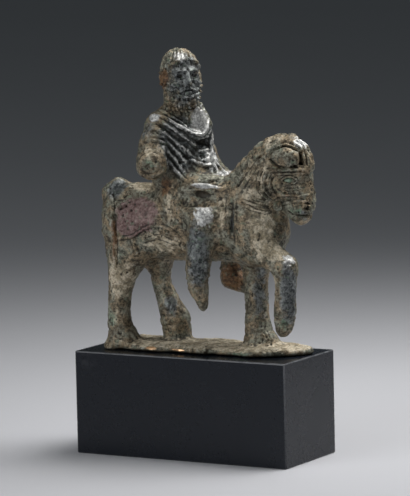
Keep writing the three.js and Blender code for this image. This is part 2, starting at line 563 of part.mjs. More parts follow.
function thinned({ points, faces }, budget, weightAt) {
  const quadrics = points.map(() => new Float64Array(10));
  const around = points.map(() => new Set());
  const normalOf = ([a, b, c]) => {
    const ux = b[0] - a[0];
    const uy = b[1] - a[1];
    const uz = b[2] - a[2];
    const vx = c[0] - a[0];
    const vy = c[1] - a[1];
    const vz = c[2] - a[2];
    return [uy * vz - uz * vy, uz * vx - ux * vz, ux * vy - uy * vx];
  };
  faces.forEach((face, f) => {
    const corners = face.map((v) => points[v]);
    const n = normalOf(corners);
    const size = Math.hypot(...n) || 1e-12;
    const [a, b, c] = n.map((m) => m / size);
    const d = -(a * corners[0][0] + b * corners[0][1] + c * corners[0][2]);
    const w = size * weightAt(corners[0]);
    for (const v of face) {
      around[v].add(f);
      [a * a, a * b, a * c, a * d, b * b, b * c, b * d, c * c, c * d, d * d].forEach((q, i) => {
        quadrics[v][i] += w * q;
      });
    }
  });
  const costAt = (q, [x, y, z]) =>
    q[0] * x * x + 2 * q[1] * x * y + 2 * q[2] * x * z + 2 * q[3] * x + q[4] * y * y +
    2 * q[5] * y * z + 2 * q[6] * y + q[7] * z * z + 2 * q[8] * z + q[9];
  const bestPoint = (a, b) => {
    const q = quadrics[a].map((m, i) => m + quadrics[b][i]);
    const pa = points[a];
    const pb = points[b];
    const middle = pa.map((m, i) => (m + pb[i]) / 2);
    const edge2 = pa.reduce((sum, m, i) => sum + (m - pb[i]) ** 2, 0);
    const pull = 1e-3 * (q[0] + q[4] + q[7]) + 1e-9; // keeps flat spots from drifting
    const m00 = q[0] + pull;
    const m11 = q[4] + pull;
    const m22 = q[7] + pull;
    const r = [pull * middle[0] - q[3], pull * middle[1] - q[6], pull * middle[2] - q[8]];
    const c00 = m11 * m22 - q[5] * q[5];
    const c01 = q[2] * q[5] - q[1] * m22;
    const c02 = q[1] * q[5] - q[2] * m11;
    const det = m00 * c00 + q[1] * c01 + q[2] * c02;
    const point = [
      (c00 * r[0] + c01 * r[1] + c02 * r[2]) / det,
      (c01 * r[0] + (m00 * m22 - q[2] * q[2]) * r[1] + (q[1] * q[2] - m00 * q[5]) * r[2]) / det,
      (c02 * r[0] + (q[1] * q[2] - m00 * q[5]) * r[1] + (m00 * m11 - q[1] * q[1]) * r[2]) / det,
    ];
    const off2 = point.reduce((sum, m, i) => sum + (m - middle[i]) ** 2, 0);
    const target = off2 < 2 * edge2 ? point : middle;
    return { target, cost: Math.max(costAt(q, target), 0) + 1e-4 * edge2 * pull };
  };

  // A binary heap of edges, cheapest on top; an entry is stale once either end has moved.
  const heap = [];
  const age = new Uint32Array(points.length);
  const push = (entry) => {
    let i = heap.push(entry) - 1;
    while (i > 0) {
      const parent = (i - 1) >> 1;
      if (heap[parent].cost <= entry.cost) break;
      heap[i] = heap[parent];
      i = parent;
    }
    heap[i] = entry;
  };
  const pop = () => {
    const top = heap[0];
    const last = heap.pop();
    if (heap.length) {
      let i = 0;
      for (;;) {
        let child = 2 * i + 1;
        if (child >= heap.length) break;
        if (child + 1 < heap.length && heap[child + 1].cost < heap[child].cost) child++;
        if (heap[child].cost >= last.cost) break;
        heap[i] = heap[child];
        i = child;
      }
      heap[i] = last;
    }
    return top;
  };
  const offer = (a, b) => {
    const { target, cost } = bestPoint(a, b);
    push({ a, b, ageA: age[a], ageB: age[b], target, cost });
  };
  faces.forEach((face) => face.forEach((a, i) => a < face[(i + 1) % 3] && offer(a, face[(i + 1) % 3])));

  const neighbours = (v) => {
    const found = new Set();
    for (const f of around[v]) for (const w of faces[f]) if (w !== v) found.add(w);
    return found;
  };
  const turnsOver = (v, other, target) => {
    for (const f of around[v]) {
      if (faces[f].includes(other)) continue;
      const before = normalOf(faces[f].map((w) => points[w]));
      const after = normalOf(faces[f].map((w) => (w === v ? target : points[w])));
      const dot = before[0] * after[0] + before[1] * after[1] + before[2] * after[2];
      if (dot <= 0.25 * Math.hypot(...before) * Math.hypot(...after)) return true;
    }
    return false;
  };
  let count = faces.length;
  while (count > budget && heap.length) {
    const { a, b, ageA, ageB, target } = pop();
    if (ageA !== age[a] || ageB !== age[b] || !around[a].size || !around[b].size) continue;
    const nearA = neighbours(a);
    const nearB = neighbours(b);
    if (!nearA.has(b) || [...nearA].filter((v) => nearB.has(v)).length !== 2) continue;
    if (turnsOver(a, b, target) || turnsOver(b, a, target)) continue;
    for (const f of around[b]) {
      if (faces[f].includes(a)) {
        for (const v of faces[f]) if (v !== b) around[v].delete(f);
        faces[f] = null;
        count--;
      } else {
        faces[f] = faces[f].map((v) => (v === b ? a : v));
        around[a].add(f);
      }
    }
    around[b].clear();
    points[a] = target;
    quadrics[b].forEach((m, i) => {
      quadrics[a][i] += m;
    });
    age[a]++;
    for (const v of neighbours(a)) offer(a, v);
  }
  return { points, faces: faces.filter(Boolean) };
}

// Solids

const wasm = await Module();
wasm.setup();

function solidOf(geometry) {
  const bare = geometry.clone();
  for (const name of Object.keys(bare.attributes)) if (name !== "position") bare.deleteAttribute(name);
  const merged = mergeVertices(bare, 1e-5);
  return new wasm.Manifold(
    new wasm.Mesh({
      numProp: 3,
      vertProperties: merged.attributes.position.array,
      triVerts: new Uint32Array(merged.index.array),
    }),
  );
}

function geometryOf(solid) {
  const mesh = solid.getMesh();
  return new THREE.BufferGeometry()
    .setAttribute("position", new THREE.BufferAttribute(mesh.vertProperties, 3))
    .setIndex(new THREE.BufferAttribute(mesh.triVerts, 1));
}

function bronzeGeometry() {
  const low = [-42, -20, -2.2].map((m) => m * percent);
  const high = [46, 17, 102].map((m) => m * percent);
  const field = statuette();
  const sized = (x, y, z) => percent * field(x / percent, y / percent, z / percent);
  // Faces go where a hand and an eye look first: the two heads, then the cloak.
  const riderEye = fromRider([0, 3, 90]);
  const weightAt = ([x, y, z]) => {
    const [px, py, pz] = [x / percent, y / percent, z / percent];
    if (Math.hypot(px - riderEye[0], py - riderEye[1], pz - riderEye[2]) < 12) return 9;
    if (px > 26 && pz > 42) return 9;
    if (pz > 55) return 4;
    return pz < plateTop + 1 ? 0.5 : 1;
  };
  const { points, faces } = thinned(surfaceOf(sized, low, high, latticeStep * percent), faceBudget, weightAt);
  const geometry = new THREE.BufferGeometry()
    .setAttribute("position", new THREE.Float32BufferAttribute(points.flat(), 3))
    .setIndex(faces.flat());
  // The underside is sawn off flat, so that the casting sits on its plinth.
  const sawn = new THREE.BoxGeometry(200 * percent, 200 * percent, 20 * percent);
  sawn.translate(0, 0, -10 * percent);
  return geometryOf(solidOf(geometry).subtract(solidOf(sawn)));
}

function plinthGeometry() {
  const c = plinthChamfer;
  const halfLength = plinthLength / 2 - c;
  const halfWidth = plinthWidth / 2 - c;
  const outline = new THREE.Shape([
    new THREE.Vector2(-halfLength, -halfWidth),
    new THREE.Vector2(halfLength, -halfWidth),
    new THREE.Vector2(halfLength, halfWidth),
    new THREE.Vector2(-halfLength, halfWidth),
  ]);
  const block = new THREE.ExtrudeGeometry(outline, {
    depth: plinthHeight - 2 * c,
    bevelEnabled: true,
    bevelSegments: 1,
    bevelThickness: c,
    bevelSize: c,
  });
  return block.translate(0, 0, c);
}

const bronze = new THREE.MeshStandardMaterial({ color: 0x6b6250, roughness: 0.55, metalness: 0.6 });
const blackLacquer = new THREE.MeshStandardMaterial({ color: 0x17191d, roughness: 0.3, metalness: 0 });

const plinth = new THREE.Mesh(plinthGeometry(), blackLacquer);
plinth.name = "plinth";

const horseAndRider = new THREE.Mesh(bronzeGeometry(), bronze);
horseAndRider.name = "horse_and_rider";
horseAndRider.position.z = plinthHeight;

const equestrianStatuette = new THREE.Group();
equestrianStatuette.name = "equestrian_statuette";
equestrianStatuette.add(plinth, horseAndRider);

export default equestrianStatuette;
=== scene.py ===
import math

import bmesh
import bpy
import numpy as np
from mathutils import Matrix, Vector


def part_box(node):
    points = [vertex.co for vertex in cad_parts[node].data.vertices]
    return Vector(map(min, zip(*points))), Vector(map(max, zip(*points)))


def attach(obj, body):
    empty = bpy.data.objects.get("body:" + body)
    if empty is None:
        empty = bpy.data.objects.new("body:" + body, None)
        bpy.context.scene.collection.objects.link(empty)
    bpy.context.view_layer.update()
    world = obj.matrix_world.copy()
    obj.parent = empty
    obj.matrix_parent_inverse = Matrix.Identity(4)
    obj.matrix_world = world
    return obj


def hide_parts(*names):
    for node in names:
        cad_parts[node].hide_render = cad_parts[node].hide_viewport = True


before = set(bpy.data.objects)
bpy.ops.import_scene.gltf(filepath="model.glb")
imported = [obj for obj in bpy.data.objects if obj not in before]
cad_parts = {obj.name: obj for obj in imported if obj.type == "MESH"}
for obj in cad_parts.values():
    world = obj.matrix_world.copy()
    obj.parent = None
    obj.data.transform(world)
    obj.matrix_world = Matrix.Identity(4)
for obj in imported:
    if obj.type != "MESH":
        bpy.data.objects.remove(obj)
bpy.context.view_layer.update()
scene = bpy.context.scene
mm = 0.001
rng = np.random.default_rng(7)

# camera, floor and lights

studio = {
    "cameraAt": (0.5810, -1.0050, 0.2102),
    "azimuth": 29.9736,  # round from the horse's right side towards its head
    "elevation": 6.9577,
    "roll": -1.2852,
    "lens": 257.01,
    "sensor": 36,
    "farClip": 40,
    "floorSize": 14.0,
    "floorColour": (0.60, 0.605, 0.635),
    "ambient": (0.041, 0.046, 0.048),
}
lights = [  # name, place, aim, size, watts, spread in degrees, colour
    ("overhead", (0.14, 0.14, 0.50), (0.03, 0.03, 0.0), (0.34, 0.28), 0.74, 90, (1.0, 0.99, 0.975)),
    ("behindRight", (0.40, 0.40, 0.45), (0.0, 0.0, 0.08), (0.30, 0.30), 0.26, 120, (1, 1, 1)),
    ("frontFill", (-0.45, -1.10, 0.60), (0.0, 0.0, 0.07), (0.80, 0.80), 6.4, 180, (0.98, 0.99, 1.0)),
]


def placeCamera():
    az, el, roll = (math.radians(studio[k]) for k in ("azimuth", "elevation", "roll"))
    back = Vector((math.sin(az) * math.cos(el), -math.cos(az) * math.cos(el), math.sin(el)))
    right = (-back).cross(Vector((0, 0, 1))).normalized()
    up = back.cross(right)
    side = math.cos(roll) * right + math.sin(roll) * up
    top = math.cos(roll) * up - math.sin(roll) * right
    data = bpy.data.cameras.new("studioCamera")
    data.sensor_width = studio["sensor"]
    data.lens = studio["lens"]
    data.clip_end = studio["farClip"]
    data.dof.use_dof = False
    camera = bpy.data.objects.new("studioCamera", data)
    scene.collection.objects.link(camera)
    turned = Matrix((side, top, back)).transposed().to_4x4()
    camera.matrix_world = Matrix.Translation(studio["cameraAt"]) @ turned
    scene.camera = camera


def softbox(name, at, aim, size, power, spread, colour):
    light = bpy.data.lights.new(name, "AREA")
    light.shape = "RECTANGLE"
    light.size, light.size_y = size
    light.energy = power
    light.spread = math.radians(spread)
    light.color = colour
    box = bpy.data.objects.new(name, light)
    box.location = at
    box.rotation_euler = (Vector(aim) - Vector(at)).to_track_quat("-Z", "Y").to_euler()
    scene.collection.objects.link(box)


placeCamera()
scene.view_settings.view_transform = "Standard"
for light in lights:
    softbox(*light)

world = bpy.data.worlds.new("studioWorld")
world.use_nodes = True
world.node_tree.nodes["Background"].inputs["Color"].default_value = (*studio["ambient"], 1)
scene.world = world
print("stage: camera and lights")

# node helpers


def socketOf(group, side, name, kind, value=None):
    made = group.interface.new_socket(name, in_out=side, socket_type=kind)
    if value is not None:
        made.default_value = value


class Graph:
    # a short way to write nodes: graph("ShaderNodeX", setting=value, inputs by name or number)
    def __init__(self, tree):
        self.tree = tree

    def __call__(self, kind, feeds=None, **settings):
        node = self.tree.nodes.new(kind)
        for key, value in settings.items():
            setattr(node, key, value)
        for key, value in (feeds or {}).items():
            self.feed(node, key, value)
        return node

    def feed(self, node, key, value):
        socket = node.inputs[key]
        if isinstance(value, bpy.types.NodeSocket):
            self.tree.links.new(value, socket)
        else:
            socket.default_value = value

    def math(self, operation, a, b=None, c=None, clamp=False):
        node = self("ShaderNodeMath", operation=operation, use_clamp=clamp)
        for i, value in enumerate((a, b, c)):
            if value is not None:
                self.feed(node, i, value)
        return node.outputs[0]

    def step(self, value, low, high):
        feeds = {"Value": value, "From Min": low, "From Max": high}
        node = self("ShaderNodeMapRange", feeds, interpolation_type="SMOOTHSTEP", clamp=True)
        return node.outputs["Result"]

    def mix(self, factor, a, b):
        node = self("ShaderNodeMix", data_type="RGBA", clamp_factor=True)
        self.feed(node, 0, factor)
        # inputs 6 and 7 and output 2 are the node's colours
        for key, value in ((6, a), (7, b)):
            self.feed(node, key, (*value, 1) if isinstance(value, tuple) and len(value) == 3 else value)
        return node.outputs[2]

    def noise(self, vector, scale, detail=4, rough=0.55, warp=0.0):
        feeds = {"Vector": vector, "Scale": scale, "Detail": detail, "Roughness": rough, "Distortion": warp}
        return self("ShaderNodeTexNoise", feeds).outputs["Fac"]


def newMaterial(name):
    material = bpy.data.materials.new(name)
    material.use_nodes = True
    material.node_tree.nodes.clear()
    return material, Graph(material.node_tree)


def buildSpeckle():
    # scattered specks and fine grain, used for dust on the lacquer and for grit on the bronze
    group = bpy.data.node_groups.new("speckle", "ShaderNodeTree")
    socketOf(group, "INPUT", "Vector", "NodeSocketVector")
    socketOf(group, "INPUT", "Scale", "NodeSocketFloat", 1000.0)
    socketOf(group, "INPUT", "Amount", "NodeSocketFloat", 0.5)
    socketOf(group, "OUTPUT", "Specks", "NodeSocketFloat")
    socketOf(group, "OUTPUT", "Grain", "NodeSocketFloat")
    g = Graph(group)
    given = g("NodeGroupInput")
    out = g("NodeGroupOutput")
    grain = g.noise(given.outputs["Vector"], given.outputs["Scale"], 3, 0.6)
    cells = g("ShaderNodeTexVoronoi", {"Vector": given.outputs["Vector"], "Scale": given.outputs["Scale"]})
    size = g.math("MULTIPLY", given.outputs["Amount"], 0.5)
    spot = g.step(cells.outputs["Distance"], size, g.math("MULTIPLY", size, 0.4))
    chosen = g("ShaderNodeSeparateColor", {"Color": cells.outputs["Color"]}).outputs[0]
    rare = g.step(chosen, g.math("SUBTRACT", 1.0, given.outputs["Amount"]), 1.0)
    g.tree.links.new(g.math("MULTIPLY", spot, rare), out.inputs["Specks"])
    g.tree.links.new(grain, out.inputs["Grain"])
    return group


speckle = buildSpeckle()

# the floor


def layFloor():
    mesh = bpy.data.meshes.new("studioFloor")
    bm = bmesh.new()
    bmesh.ops.create_grid(bm, x_segments=1, y_segments=1, size=studio["floorSize"] / 2)
    bm.to_mesh(mesh)
    bm.free()
    floor = bpy.data.objects.new("studioFloor", mesh)
    scene.collection.objects.link(floor)
    material, g = newMaterial("palePaper")
    where = g("ShaderNodeTexCoord").outputs["Object"]
    pale = studio["floorColour"]
    shade = g.mix(g.noise(where, 3.0, 2), pale, tuple(0.96 * c for c in pale))
    feeds = {"Base Color": shade, "Roughness": 0.85, "Specular IOR Level": 0.15}
    paper = g("ShaderNodeBsdfPrincipled", feeds)
    g("ShaderNodeOutputMaterial", {"Surface": paper.outputs["BSDF"]})
    mesh.materials.append(material)


layFloor()

# shaping helpers: points are N x 3 arrays in millimetres, z up from the bronze's underside

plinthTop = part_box("plinth")[1].z / mm


def smoothStep(v, low, high):
    t = np.clip((v - low) / (high - low), 0, 1)
    return t * t * (3 - 2 * t)


def bump(d, width):
    # 1 in the middle, falling smoothly to 0 at the width
    return np.clip(1 - (d / width) ** 2, 0, 1) ** 2


def folds(phase):
    # rounded ridges with sharp grooves between them, from -1 to 1
    return 2 * np.abs(np.sin(phase)) - 1


def rounded(path, rounds=2):
    # cuts a path's corners
    path = np.asarray(path, float)
    for _ in range(rounds):
        a, b = path[:-1], path[1:]
        cut = np.empty((2 * len(a), 3))
        cut[0::2] = a * 0.75 + b * 0.25
        cut[1::2] = a * 0.25 + b * 0.75
        path = np.vstack([path[:1], cut, path[-1:]])
    return path


def alongPath(points, path):
    # distance to a path, and how far along it the nearest place is, from 0 to 1
    best = np.full(len(points), np.inf)
    along = np.zeros(len(points))
    lengths = np.linalg.norm(np.diff(path, axis=0), axis=1)
    starts = np.concatenate([[0], np.cumsum(lengths)])
    for i, (a, b) in enumerate(zip(path[:-1], path[1:])):
        d = b - a
        t = np.clip((points - a) @ d / max(d @ d, 1e-9), 0, 1)
        gap = np.linalg.norm(points - a - t[:, None] * d, axis=1)
        closer = gap < best
        best[closer] = gap[closer]
        along[closer] = (starts[i] + t[closer] * lengths[i]) / starts[-1]
    return best, along


def layOnSkin(points, path, reach=3.0):
    # each place on a path drops to the nearest point of the surface, if one is within reach
    laid = []
    for place in np.asarray(path, float):
        near = points[np.all(np.abs(points - place) < reach, axis=1)]
        laid.append(near[np.argmin(((near - place) ** 2).sum(1))] if len(near) else place)
    return np.array(laid)


def stroke(points, path, width, height, taper=0.15):
    # a ridge along a path, or a groove where the height is negative
    path = rounded(layOnSkin(points, path))
    raised = np.zeros(len(points))
    inside = np.all((points > path.min(0) - width) & (points < path.max(0) + width), axis=1)
    if not inside.any():
        return raised
    gap, along = alongPath(points[inside], path)
    ends = smoothStep(along, -0.001, taper) * smoothStep(1.001 - along, 0, taper) if taper else 1
    raised[inside] = height * bump(gap, width) * ends
    return raised


def blob(points, centre, radii):
    # 1 at the centre of an ellipsoid, falling to 0 at its skin
    return bump(np.linalg.norm((points - centre) / radii, axis=1), 1.0)


latticeSize = 32
lattice = rng.uniform(-1, 1, (latticeSize, latticeSize, latticeSize))


def noiseAt(points, size, shift=0.0):
    # smooth random values from -1 to 1, a lump being about the size in millimetres
    q = points / size + 100 + shift
    base = np.floor(q).astype(int)
    t = q - base
    t = t * t * (3 - 2 * t)
    total = np.zeros(len(points))
    for corner in range(8):
        step = np.array([corner & 1, corner >> 1 & 1, corner >> 2 & 1])
        weight = np.prod(np.where(step, t, 1 - t), axis=1)
        i, j, k = ((base + step) % latticeSize).T
        total += weight * lattice[i, j, k]
    return total


def layeredNoise(points, size, octaves=3, shift=0.0):
    return sum(noiseAt(points, size / 2**i, shift + 3.7 * i) * 0.55**i for i in range(octaves))


def pointsOf(mesh):
    co = np.empty(len(mesh.vertices) * 3, np.float32)
    mesh.vertices.foreach_get("co", co)
    points = co.reshape(-1, 3).astype(float) / mm
    points[:, 2] -= plinthTop
    return points


def setPoints(mesh, points):
    moved = points.copy()
    moved[:, 2] += plinthTop
    mesh.vertices.foreach_set("co", (moved * mm).astype(np.float32).ravel())
    mesh.update()


def normalsOf(mesh):
    normals = np.empty(len(mesh.vertices) * 3, np.float32)
    mesh.vertices.foreach_get("normal", normals)
    return normals.reshape(-1, 3).astype(float)


def edgesOf(mesh):
    edges = np.empty(len(mesh.edges) * 2, np.int32)
    mesh.edges.foreach_get("vertices", edges)
    return edges.reshape(-1, 2)


def averaged(values, edges, rounds, amount=0.5):
    # each value moves towards the mean of its neighbours'
    n = len(values)
    a, b = edges.T
    count = np.maximum(np.bincount(a, minlength=n) + np.bincount(b, minlength=n), 1)
    columns = values.reshape(n, -1).T.copy()
    for _ in range(rounds):
        for c in range(len(columns)):
            v = columns[c]
            mean = (np.bincount(a, v[b], n) + np.bincount(b, v[a], n)) / count
            columns[c] = v + amount * (mean - v)
    return columns.T.reshape(values.shape)


# the bronze: the casting's own solid, given a fine skin and then carved

casting = {
    "voxel": 0.30,  # mm, the fine skin before carving
    "facetRounds": 14,  # rounds of smoothing that take the facets out
    "triangles": 194000,
    "roughCast": 0.15,  # mm, height of the uneven cast skin
    "pitDepth": 0.3,
    "riderTurn": -37.0,  # degrees, from the way the horse walks
    "riderAt": (-6.2, -0.8),
    "riderRelief": (2.3, 1.0, 1.9),  # a stroke's gain, then the depth and width of the ground beside it
    "horseRelief": (2.5, 1.15, 2.0),
    "leftShare": 0.75,  # the horse's left side is a little plainer
    "foldHeight": 0.3,  # on the cloak's back and over the covered arm
    "foldPitch": 0.72,
    "curl": 1.6,  # width of a curl of the beard
    "beardRadius": 6.6,
}


def bareCopy(nodeName, pieceName):
    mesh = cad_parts[nodeName].data.copy()
    mesh.name = pieceName
    mesh.materials.clear()
    bm = bmesh.new()
    bm.from_mesh(mesh)
    bmesh.ops.remove_doubles(bm, verts=bm.verts, dist=1e-6)
    bm.to_mesh(mesh)
    bm.free()
    piece = bpy.data.objects.new(pieceName, mesh)
    scene.collection.objects.link(piece)
    return piece


def applyModifiers(piece):
    depsgraph = bpy.context.evaluated_depsgraph_get()
    baked = bpy.data.meshes.new_from_object(piece.evaluated_get(depsgraph))
    piece.modifiers.clear()
    old = piece.data
    piece.data = baked
    bpy.data.meshes.remove(old)


riderTurn = math.radians(casting["riderTurn"])
riderFront = np.array([math.cos(riderTurn), math.sin(riderTurn), 0])


def riderAxes(points):
    # how far a point lies to the rider's left and to the front of the spine
    dx = points[:, 0] - casting["riderAt"][0]
    dy = points[:, 1] - casting["riderAt"][1]
    return dy * riderFront[0] - dx * riderFront[1], dx * riderFront[0] + dy * riderFront[1]


def fineSkin():
    piece = bareCopy("horse_and_rider", "cast_horse_and_rider")
    rounder = piece.modifiers.new("rounder", "SUBSURF")
    rounder.levels = rounder.render_levels = 2
    skin = piece.modifiers.new("skin", "REMESH")
    skin.mode = "VOXEL"
    skin.voxel_size = casting["voxel"] * mm
    applyModifiers(piece)
    points = pointsOf(piece.data)
    setPoints(piece.data, averaged(points, edgesOf(piece.data), casting["facetRounds"]))
    return piece


bronzePiece = fineSkin()
print("stage: fine skin,", len(bronzePiece.data.polygons), "faces")

# what is carved on the rider: paths and places in millimetres, then width and height of each ridge

riderCarving = {
    # the cloak's edge from the right shoulder to the point on the chest and up over the left shoulder
    "cloakEdge": ([(-11.4, -10.7, 78.4), (-8.7, -9.9, 78.6), (-5.4, -9.3, 76.8), (-2.6, -7.6, 74.8),
        (-0.1, -5.4, 73.0), (1.7, -3.4, 71.9), (2.9, -1.5, 72.1), (3.3, 0.1, 73.9),
        (3.1, 1.6, 77.0)], 0.95, 0.5),
    "collar": ([(-10.9, -7.4, 80.2), (-7.6, -7.9, 79.3), (-5.2, -7.0, 77.6), (-2.9, -5.1, 75.5),
        (-0.8, -4.9, 74.3)], 0.75, 0.38),
    "shoulderFold": ([(-12.4, -10.4, 77.6), (-11.2, -10.9, 77.0), (-9.1, -10.8, 77.0), (-6.6, -9.9, 75.8),
        (-4.9, -8.9, 74.4), (-2.6, -6.5, 71.9), (-0.7, -3.3, 69.5), (0.7, -0.6, 67.0)], 1.15, 0.5),
    "secondFold": ([(-11.3, -12.1, 75.3), (-8.7, -11.4, 74.4), (-6.4, -8.9, 71.8), (-3.1, -7.1, 68.6),
        (-1.4, -3.6, 65.2), (1.2, -2.9, 62.9)], 1.1, 0.48),
    "thirdFold": ([(-8.4, -10.9, 72.6), (-5.9, -8.6, 69.2), (-3.4, -6.7, 65.6),
        (-1.5, -4.9, 62.4)], 1.0, 0.45),
    "fourthFold": ([(-7.1, -9.9, 67.6), (-5.8, -7.7, 65.0), (-3.2, -7.1, 61.7),
        (-0.3, -7.1, 58.7)], 1.0, 0.45),
    "fifthFold": ([(-6.3, -8.8, 63.6), (-4.9, -7.9, 60.8), (-2.6, -7.9, 58.6),
        (0.4, -9.0, 57.0)], 0.9, 0.4),
    "crossFold": ([(0.4, -1.6, 66.5), (2.1, -0.5, 66.4), (3.2, 1.4, 67.0)], 0.8, 0.45),
    "hipFold": ([(-1.6, -4.4, 63.9), (-0.4, -3.5, 63.3), (1.9, -2.8, 62.3), (3.8, -1.6, 61.6),
        (4.8, 0.7, 62.0)], 0.9, 0.55),
    "sideEdge": ([(3.3, 2.5, 73.4), (3.5, 2.5, 71.1), (3.7, 2.4, 67.8), (4.1, 1.4, 64.6),
        (5.0, 1.0, 62.0), (6.9, 0.1, 59.5)], 0.95, 0.5),
    "lapFold": ([(4.8, 1.6, 63.9), (7.3, 2.1, 60.8), (10.2, 0.2, 58.6)], 0.8, 0.4),
    "lapFoldLow": ([(5.4, 0.4, 60.4), (8.1, -0.9, 58.6), (10.8, -3.4, 57.6)], 0.8, 0.4),
    "hemUpper": ([(4.4, -9.3, 57.3), (6.2, -8.7, 57.4), (8.7, -7.0, 57.6),
        (10.6, -5.1, 57.8)], 0.7, 0.35),
    "hem": ([(0.4, -10.3, 55.3), (1.4, -10.2, 55.8), (4.8, -9.5, 56.3), (8.2, -8.8, 55.9),
        (11.6, -8.3, 55.3), (13.0, -7.4, 55.1)], 1.05, 0.5),
    "sleeveRim": ([(-15.4, -13.4, 69.2), (-13.9, -14.4, 70.0), (-11.7, -14.4, 70.8), (-9.3, -13.2, 70.9),
        (-7.3, -11.0, 70.0), (-6.6, -8.6, 69.2)], 0.85, 0.4),
    "breakRim": ([(-13.3, -17.6, 63.6), (-13.2, -16.4, 65.8), (-11.1, -15.5, 67.5), (-8.2, -13.9, 67.3),
        (-6.2, -13.0, 65.4), (-5.6, -13.3, 62.4), (-6.4, -14.9, 60.1), (-9.1, -16.7, 58.9),
        (-11.7, -17.8, 60.2), (-13.2, -17.9, 62.4)], 0.95, 0.4),
}
riderHollows = [  # centre, radii, depth
    ((0.9, 0.0, 69.0), (2.2, 2.6, 1.7), 0.7),
    ((2.6, -1.2, 64.7), (2.0, 2.4, 1.3), 0.7),
    ((4.4, -2.8, 59.7), (3.4, 3.4, 1.7), 0.7),
    ((6.1, -9.4, 52.8), (5.4, 3.2, 1.9), 0.9),
    ((-9.4, -16.0, 63.0), (3.9, 3.2, 3.9), 0.35),
]
legBands = [((5.4, -12.0, 26.2), 4.6), ((4.4, 11.4, 26.4), 4.6)]  # tops of the boots: middle, reach

# what is carved on the horse's right; the left side is its mirror image, a little plainer

